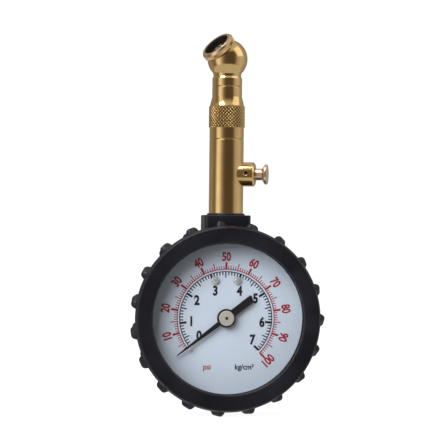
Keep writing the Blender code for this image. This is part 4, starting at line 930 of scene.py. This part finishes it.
def sleeve_outline():
    """A guard ring on each side of the band keeps the knurl's shading off the smooth parts."""
    low = STEM_TOP + 0.15 * MM
    shoulder = STEM_TOP + 7.4 * MM
    spindle_bore = 3.45 * MM
    nipple_bore = 4.35 * MM
    corners = [
        (STEM_RADIUS, low, SEAM_ROUND), (STEM_RADIUS, KNURL_LOW - GUARD, 0), (STEM_RADIUS, KNURL_LOW, 0),
        (KNURL_RADIUS, KNURL_LOW + 0.2 * MM, 0), (KNURL_RADIUS, KNURL_HIGH - 0.25 * MM, 0),
        (STEM_RADIUS + GUARD, KNURL_HIGH, 0), (STEM_RADIUS, KNURL_HIGH + GUARD, 0),
        (NECK_RADIUS, TAPER_TOP, 0.5 * MM), (NECK_RADIUS, SLEEVE_TOP, SEAM_ROUND),
        (spindle_bore, SLEEVE_TOP, 0), (spindle_bore, shoulder, 0), (nipple_bore, shoulder, 0),
        (nipple_bore, low, 0),
    ]
    return subdivided(rounded(corners), TURN * KNURL_RADIUS / DIAMONDS / 8, on_the_band)


def tarnish_band(finish, top, depth):
    """Dulls a turned finish on the band, and paints it darker where it lies deeper than the radius top:
    grime and painted shade in the grooves.
    """
    tree = finish.node_tree
    where = tree.nodes.new('ShaderNodeTexCoord')
    parts = tree.nodes.new('ShaderNodeSeparateXYZ')
    tree.links.new(where.outputs['Object'], parts.inputs[0])
    x, y, z = parts.outputs
    squares = maths(tree, 'MULTIPLY_ADD', x, x, maths(tree, 'MULTIPLY', y, y))
    half_band = (KNURL_HIGH - KNURL_LOW) / 2 - 0.2 * MM
    band = maths(tree, 'COMPARE', z, (KNURL_LOW + KNURL_HIGH) / 2, half_band)
    grime_and_shade = between(finish, maths(tree, 'SQRT', squares), 1.0, 0.0, top - depth, top)
    mix = tree.nodes.new('ShaderNodeMix')
    mix.data_type = 'RGBA'
    base, gloss = (shader_of(finish).inputs[socket] for socket in ('Base Color', 'Roughness'))
    # Painted shade: below the crests the colour goes to dark brown, partly grime and partly the shade of
    # the grooves.
    tree.links.new(maths(tree, 'MULTIPLY', grime_and_shade, band), mix.inputs[0])
    tree.links.new(base.links[0].from_socket, mix.inputs[6])
    mix.inputs[7].default_value = (*GROOVE_GRIME_AND_SHADE, 1)
    tree.links.new(mix.outputs[2], base)
    duller = maths(tree, 'MULTIPLY_ADD', band, BAND_DULLER, gloss.links[0].from_socket)
    tree.links.new(duller, gloss)


knurled_brass = metal("knurled_brass", BRASS_COLOUR, 0.13, ROUND_ABOUT, 0.0008 * MM)
tarnish_band(knurled_brass, KNURL_RADIUS - 0.03 * MM, 0.13 * MM)
sleeve_mesh = turned(sleeve_outline(), DIAMONDS * 8, knurl)
sleeve = add_piece("sleeve_barrel", sleeve_mesh, knurled_brass, STEM_FRAME,
                   sharp=38, replaces=["knurled_sleeve"], slot="brass")
print("knurled sleeve:", len(sleeve.data.polygons), "faces,", DIAMONDS, "diamonds round")

# %% [markdown]
# The swivelling head is one casting, turned and polished: a spindle inside the sleeve, a short collar and a
# ball.  It is turned like the rest.  Then one cut with a stepped tool faces the ball off and bores its
# mouth, which tilts upward.  A ring with a fine straight knurl closes the mouth over a rubber seal.  Its
# bore is lined with dark seal rubber, as a gasket lines a chuck's mouth, and this dark lining also paints
# the shade inside the mouth.  The pin in the middle is what opens the tyre's valve.

# %% The head
BALL_RADIUS = 6.65 * MM
HEAD_LOW = SLEEVE_TOP + 0.15 * MM
HEAD_COLLAR = HEAD_LOW + 2.55 * MM
SPINDLE = 3.3 * MM
SPINDLE_BOTTOM = STEM_TOP + 5.35 * MM
WAIST = NECK_RADIUS - 0.35 * MM
SOCKET_FLOOR = 1.2 * MM
SOCKET_END = 4.0 * MM
SOCKET_BORE = 4.45 * MM

head_corners = [(0, SPINDLE_BOTTOM, 0), (SPINDLE, SPINDLE_BOTTOM, 0.3 * MM), (SPINDLE, HEAD_LOW, 0),
                (NECK_RADIUS, HEAD_LOW, SEAM_ROUND), (NECK_RADIUS, HEAD_COLLAR, 0.12 * MM),
                (WAIST, HEAD_COLLAR + 0.7 * MM, 0.12 * MM), (WAIST + 0.02 * MM, HEAD_COLLAR + 1.2 * MM, 0)]
ball = arc((0, BALL_HEIGHT), BALL_RADIUS, -acos((WAIST + 0.15 * MM) / BALL_RADIUS), pi / 2, 48)
head_outline = rounded(head_corners)
head_outline += ball[:-1] + [(0, BALL_HEIGHT + BALL_RADIUS)]
head = add_piece("swivel_ball", turned(head_outline, 128), turned_brass, STEM_FRAME, "swivel_head",
                 replaces=["chuck_head"], slot="brass")
beyond = BALL_RADIUS + MM
mouth = [(0, SOCKET_FLOOR), (SOCKET_BORE, SOCKET_FLOOR), (SOCKET_BORE, SOCKET_END),
         (beyond, SOCKET_END), (beyond, beyond), (0, beyond)]
carve(head, turned(mouth, 128), CHUCK_FRAME)
print("head:", len(head.data.polygons), "faces")

# %% The chuck ring, its seal and the pin
RING_RADIUS = 5.87 * MM
RING_BORE = 4.4 * MM
RING_LOW = SOCKET_END + 0.1 * MM
RING_HIGH = RING_LOW + 2.55 * MM
RING_TEETH = 84


def ring_knurl(angle, radius, height):
    if radius < RING_RADIUS - 0.02 * MM or not RING_LOW + 0.55 * MM < height < RING_HIGH - 0.85 * MM:
        return 0
    return -0.16 * MM * (1 - groove_distance(angle / TURN * RING_TEETH))


def on_the_rim(start, end):
    return min(start[0], end[0]) > RING_RADIUS - 0.1 * MM


ring_corners = rounded([
    (RING_BORE, RING_LOW, 0), (RING_RADIUS - 0.55 * MM, RING_LOW, 0),
    (RING_RADIUS, RING_LOW + 0.45 * MM, 0.05 * MM),
    (RING_RADIUS, RING_HIGH - 0.75 * MM, 0.05 * MM), (RING_RADIUS - 0.55 * MM, RING_HIGH, 0.15 * MM),
    (RING_BORE, RING_HIGH, 0.2 * MM),
])
ring_fine = subdivided(ring_corners, 0.25 * MM, on_the_rim)
ring_brass = metal("ring_brass", (0.89, 0.62, 0.34), 0.2, ROUND_ABOUT, 0.0008 * MM)
mouth_ring = add_piece("mouth_ring", turned(ring_fine, RING_TEETH * 4, ring_knurl), ring_brass, CHUCK_FRAME,
                       "swivel_head", replaces=["chuck_ring"], slot="brass")
# The bore's faces take dark seal rubber: a lining, and also painted shade inside the mouth.
mouth_ring.data.materials.append(seal_rubber)
for face in mouth_ring.data.polygons:
    if face.center.xy.length < RING_BORE + 0.12 * MM:
        face.material_index = 1
seal_low = 2.3 * MM
seal_high = SOCKET_END - 0.1 * MM
in_socket = SOCKET_BORE - 0.1 * MM
seal_bore = 1.9 * MM
seal = rounded([(seal_bore, seal_low, 0), (in_socket, seal_low, 0),
                (in_socket, seal_high, 0.3 * MM), (3.1 * MM, seal_high, 0.5 * MM),
                (seal_bore, seal_high - 0.8 * MM, 0.25 * MM)])
add_piece("mouth_seal", turned(seal, 72), seal_rubber, CHUCK_FRAME, "swivel_head",
          replaces=["chuck_seal"], slot="seal_rubber")
pin_low = 1.3 * MM
pin_foot = 2.2 * MM
pin_high = RING_HIGH - 1.2 * MM
pin_width = 1.5 * MM
pin_outline = rounded([(0, pin_low, 0), (in_socket, pin_low, 0), (in_socket, pin_foot, 0),
                       (pin_width, pin_foot, 0.1 * MM), (pin_width, pin_high, 0.22 * MM), (0, pin_high, 0)])
pin = add_piece("mouth_pin", turned(pin_outline, 56), steel, CHUCK_FRAME, "swivel_head",
                replaces=["valve_depressor"], slot="brass")
pin_slot = [(-2 * MM, -0.3 * MM), (2 * MM, -0.3 * MM), (2 * MM, 0.3 * MM), (-2 * MM, 0.3 * MM)]
carve(pin, prism(pin_slot, pin_high - 0.9 * MM, pin_high + MM), CHUCK_FRAME)
print("chuck: ring, seal and slotted pin")

# %% [markdown]
# The bleed valve is screwed into the side of the stem.  Its body has a small hole that lets air
# out, and its button is a little spool of a rosier brass that is pressed with a finger.

# %% The bleed valve
VALVE_RADIUS = 4.0 * MM
VALVE_REACH = STEM_RADIUS + 3.95 * MM
VALVE_BORE = 2.15 * MM
BUTTON_REACH = VALVE_REACH + 4.15 * MM
BUTTON_RADIUS = 3.35 * MM
SPOOL_RADIUS = 1.95 * MM
ROD_RADIUS = 0.6 * MM
ROD_END = 2.1 * MM

valve_corners = rounded([
    (VALVE_BORE, 3.5 * MM, 0), (VALVE_RADIUS, 3.5 * MM, 0),
    (VALVE_RADIUS, VALVE_REACH - 0.5 * MM, 0.2 * MM), (VALVE_RADIUS - 0.5 * MM, VALVE_REACH, 0.15 * MM),
    (VALVE_BORE, VALVE_REACH, 0.2 * MM),
])
valve = add_piece("bleed_barrel", turned(valve_corners, 96), turned_brass, VALVE_FRAME,
                  replaces=["bleed_valve_body"], slot="brass")
half = 2 * VALVE_RADIUS
carve(valve, rod(STEM_RADIUS + 0.01 * MM, VALVE_HEIGHT - half, VALVE_HEIGHT + half, 128), STEM_FRAME)
vent = VALVE_FRAME @ frame_along((-1, 0, 0), (0, 0, 1), (0, 0.3 * MM, STEM_RADIUS + 1.3 * MM))
carve(valve, turned(rounded([(0, MM, 0), (0.66 * MM, MM, 0), (0.66 * MM, VALVE_RADIUS - 0.12 * MM, 0),
                             (0.95 * MM, VALVE_RADIUS + 0.12 * MM, 0), (0.95 * MM, VALVE_RADIUS + MM, 0),
                             (0, VALVE_RADIUS + MM, 0)]), 36), vent)
flare = BUTTON_REACH - 1.9 * MM
spool_low = VALVE_REACH - 1.2 * MM
button_corners = rounded([
    (0, ROD_END, 0), (ROD_RADIUS, ROD_END, 0), (ROD_RADIUS, spool_low, 0),
    (SPOOL_RADIUS, spool_low, 0.15 * MM),
    (SPOOL_RADIUS, flare + 0.15 * MM, 0.5 * MM), (BUTTON_RADIUS, flare + 1.1 * MM, 0.1 * MM),
    (BUTTON_RADIUS, BUTTON_REACH, 0.25 * MM), (0, BUTTON_REACH, 0),
])
add_piece("bleed_spool", turned(button_corners, 80), rose_brass, VALVE_FRAME, "bleed_plunger",
          replaces=["bleed_button"], slot="rose_brass")
print("bleed valve: body and button")

# %% [markdown]
# The rest is inside the case and the stem: the Bourdon tube, the movement, the valves and the
# seals.  Their shapes are already right, so they keep their meshes and only get a finish.

# %% Finishes of the inner parts
INNER_FINISHES = {
    bronze: ("bourdon_tube", "hairspring"),
    raw_brass: ("bourdon_tip", "link", "sector_gear", "movement_front_plate", "movement_back_plate",
                "movement_pillar_upper_left", "movement_pillar_upper_right", "movement_pillar_lower_left",
                "socket_block", "hairspring_collet", "hairspring_stud", "bleed_poppet"),
    steel: ("pinion_arbor", "sector_arbor", "link_pin_sector", "link_pin_tip", "movement_screw_left",
            "movement_screw_right", "swivel_clip", "check_valve_spring", "bleed_spring"),
    seal_rubber: ("stem_washer", "sleeve_seal", "swivel_seal", "bleed_seal"),
    nylon: ("check_valve_seat", "check_valve_poppet"),
}
for finish, names in INNER_FINISHES.items():
    for name in names:
        node = frame["nodes"][name]
        node.data.materials.clear()
        node.data.materials.append(finish)
        smooth(node.data, 30)
print("inner parts finished:", sum(len(names) for names in INNER_FINISHES.values()))

# %% [markdown]
# The camera stands a little to the left of the dial's axis, level with the middle of the object.
# A long lens from 0.6 m keeps the perspective gentle, as a product picture does.

# %% Camera
CAMERA_TURN = radians(-6.5)
CAMERA_DISTANCE = 0.6
AIM = Vector((-1.98 * MM, -BOOT_DEPTH, 31 * MM))
TOWARDS_CAMERA = Vector((sin(CAMERA_TURN), -cos(CAMERA_TURN), 0))
TO_THE_RIGHT = Vector((cos(CAMERA_TURN), sin(CAMERA_TURN), 0))

camera_data = bpy.data.cameras.new("camera")
camera_data.lens = 148.4
camera_data.sensor_width = 36
camera = bpy.data.objects.new("camera", camera_data)
scene.collection.objects.link(camera)
camera.location = AIM + TOWARDS_CAMERA * CAMERA_DISTANCE
looking = (-TOWARDS_CAMERA).to_track_quat('-Z', 'Y').to_matrix().to_4x4()
roll = Matrix.Rotation(radians(0.65), 4, 'Z')
camera.matrix_world = Matrix.Translation(camera.location) @ looking @ roll
scene.camera = camera
print("camera at", [round(x, 3) for x in camera.location])

# %% [markdown]
# Polished metal shows the room, so the room is designed: a white floor and backdrop that only the
# camera sees, a soft lamp high on each side, and round the object a band of light and dark that
# gives the stem its stripes.  The band could be painted cards.  It is a world shader here, because
# its edges can then be soft, and every direction has a value that can be set.  The dark tones are
# warm, for polished brass standing in a pale room mirrors mostly more brass and warm shadow.

# %% World
AROUND = ((-180, 0.3), (-140, 0.3), (-113, 0.31), (-94, 0.22), (-80, 0.18), (-71, 0.5), (-63, 0.95),
          (-53, 0.98), (-42, 0.72), (-31, 0.36), (-19, 0.16), (-4, 0.09), (34, 0.09), (46, 0.13),
          (56, 0.36), (68, 0.47), (92, 0.56), (126, 0.38), (150, 0.3), (180, 0.3))
WARM_DARK = (1.0, 0.8, 0.64)
FROM_BELOW = 0.56
FROM_ABOVE = 0.55


def make_world():
    world = bpy.data.worlds.new("studio")
    world.use_nodes = True
    scene.world = world
    tree = world.node_tree
    nodes, links = tree.nodes, tree.links
    where = nodes.new('ShaderNodeTexCoord')

    def along(axis):
        dot = nodes.new('ShaderNodeVectorMath')
        dot.operation = 'DOT_PRODUCT'
        dot.inputs[1].default_value = axis
        links.new(where.outputs['Generated'], dot.inputs[0])
        return dot.outputs['Value']

    def tone_ramp(factor, stops):
        node = nodes.new('ShaderNodeValToRGB')
        node.color_ramp.interpolation = 'EASE'
        links.new(factor, node.inputs['Fac'])
        elements = node.color_ramp.elements
        while len(elements) < len(stops):
            elements.new(0.5)
        for element, (position, value) in zip(elements, stops):
            element.position = position
            bright = min(1.0, value / 0.45)
            element.color = (*(value * (dark + (1 - dark) * bright) for dark in WARM_DARK), 1)
        return node.outputs['Color']

    turn = maths(tree, 'ARCTAN2', along(TO_THE_RIGHT), along(TOWARDS_CAMERA))
    share = maths(tree, 'ADD', maths(tree, 'DIVIDE', turn, TURN), 0.5)
    band = tone_ramp(share, [((angle + 180) / 360, value) for angle, value in AROUND])
    height = maths(tree, 'MULTIPLY_ADD', along((0, 0, 1)), 0.5, 0.5)
    below = tone_ramp(height, [(0.232, 1.0), (0.252, 0.0)])
    above = tone_ramp(height, [(0.78, 0.0), (0.92, 1.0)])

    def blend(factor, first, value):
        node = nodes.new('ShaderNodeMix')
        node.data_type = 'RGBA'
        links.new(factor, node.inputs[0])
        links.new(first, node.inputs[6])
        node.inputs[7].default_value = (value, value, value, 1)
        return node.outputs[2]

    light = blend(above, blend(below, band, FROM_BELOW), FROM_ABOVE)
    links.new(light, nodes['Background'].inputs['Color'])
    nodes['Background'].inputs['Strength'].default_value = 1.0
    return world


make_world()
scene.view_settings.view_transform = 'Standard'
scene.cycles.caustics_reflective = False
print("world: a band of", len(AROUND), "tones round the object")

# %% Lamps
def add_lamp(name, turn, rise, distance, width, height, power):
    """A soft lamp seen from the object at a turn to the camera's right and a rise above the level."""
    data = bpy.data.lights.new(name, 'AREA')
    data.shape = 'RECTANGLE'
    data.size = width
    data.size_y = height
    data.energy = power
    lamp = bpy.data.objects.new(name, data)
    scene.collection.objects.link(lamp)
    level = TOWARDS_CAMERA * cos(radians(turn)) + TO_THE_RIGHT * sin(radians(turn))
    direction = level * cos(radians(rise)) + Vector((0, 0, sin(radians(rise))))
    lamp.location = Vector((0, 0, 40 * MM)) + direction * distance
    lamp.rotation_euler = direction.to_track_quat('Z', 'Y').to_euler()
    return lamp


key = add_lamp("key", -48, 61, 0.6, 0.26, 0.26, 1.5)
key.visible_diffuse = False
card = add_lamp("side_card", 80, 38, 0.6, 0.46, 0.44, 0.37)
card.visible_diffuse = False
fill = add_lamp("fill", -33, 28, 0.9, 0.72, 0.72, 10.4)
fill.visible_glossy = False
print("lamps: a soft one high on each side for the metal, and a fill for the dial")

# %% Floor and backdrop
def add_stage(name, bm, finish):
    mesh = bpy.data.meshes.new(name)
    bm.to_mesh(mesh)
    bm.free()
    mesh.materials.append(finish)
    mesh.shade_smooth()
    stage = bpy.data.objects.new(name, mesh)
    scene.collection.objects.link(stage)
    for ray in ("visible_diffuse", "visible_glossy", "visible_transmission", "visible_shadow"):
        setattr(stage, ray, False)
    return stage


floor_white = new_finish("floor_white", Base_Color=(0.25, 0.25, 0.25, 1), Roughness=0.8,
                         Emission_Color=(1, 1, 1, 1), Emission_Strength=0.93)
set_by(floor_white, 'Normal', bump(floor_white, grains(floor_white, (300, 300, 300)), 0.01 * MM))
backdrop_white = new_finish("backdrop_white", Base_Color=(0, 0, 0, 1), Emission_Color=(1, 1, 1, 1),
                            Emission_Strength=1.05)
object_low, object_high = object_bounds()
floor_mesh = bmesh.new()
bmesh.ops.create_circle(floor_mesh, cap_ends=True, segments=96, radius=1.2,
                        matrix=Matrix.Translation((0, 0, object_low.z - 0.05 * MM)))
add_stage("floor", floor_mesh, floor_white)
dome_mesh = bmesh.new()
bmesh.ops.create_icosphere(dome_mesh, subdivisions=4, radius=2.5)
bmesh.ops.reverse_faces(dome_mesh, faces=dome_mesh.faces)
add_stage("backdrop", dome_mesh, backdrop_white)
print("floor at", round(object_low.z / MM, 2), "mm")
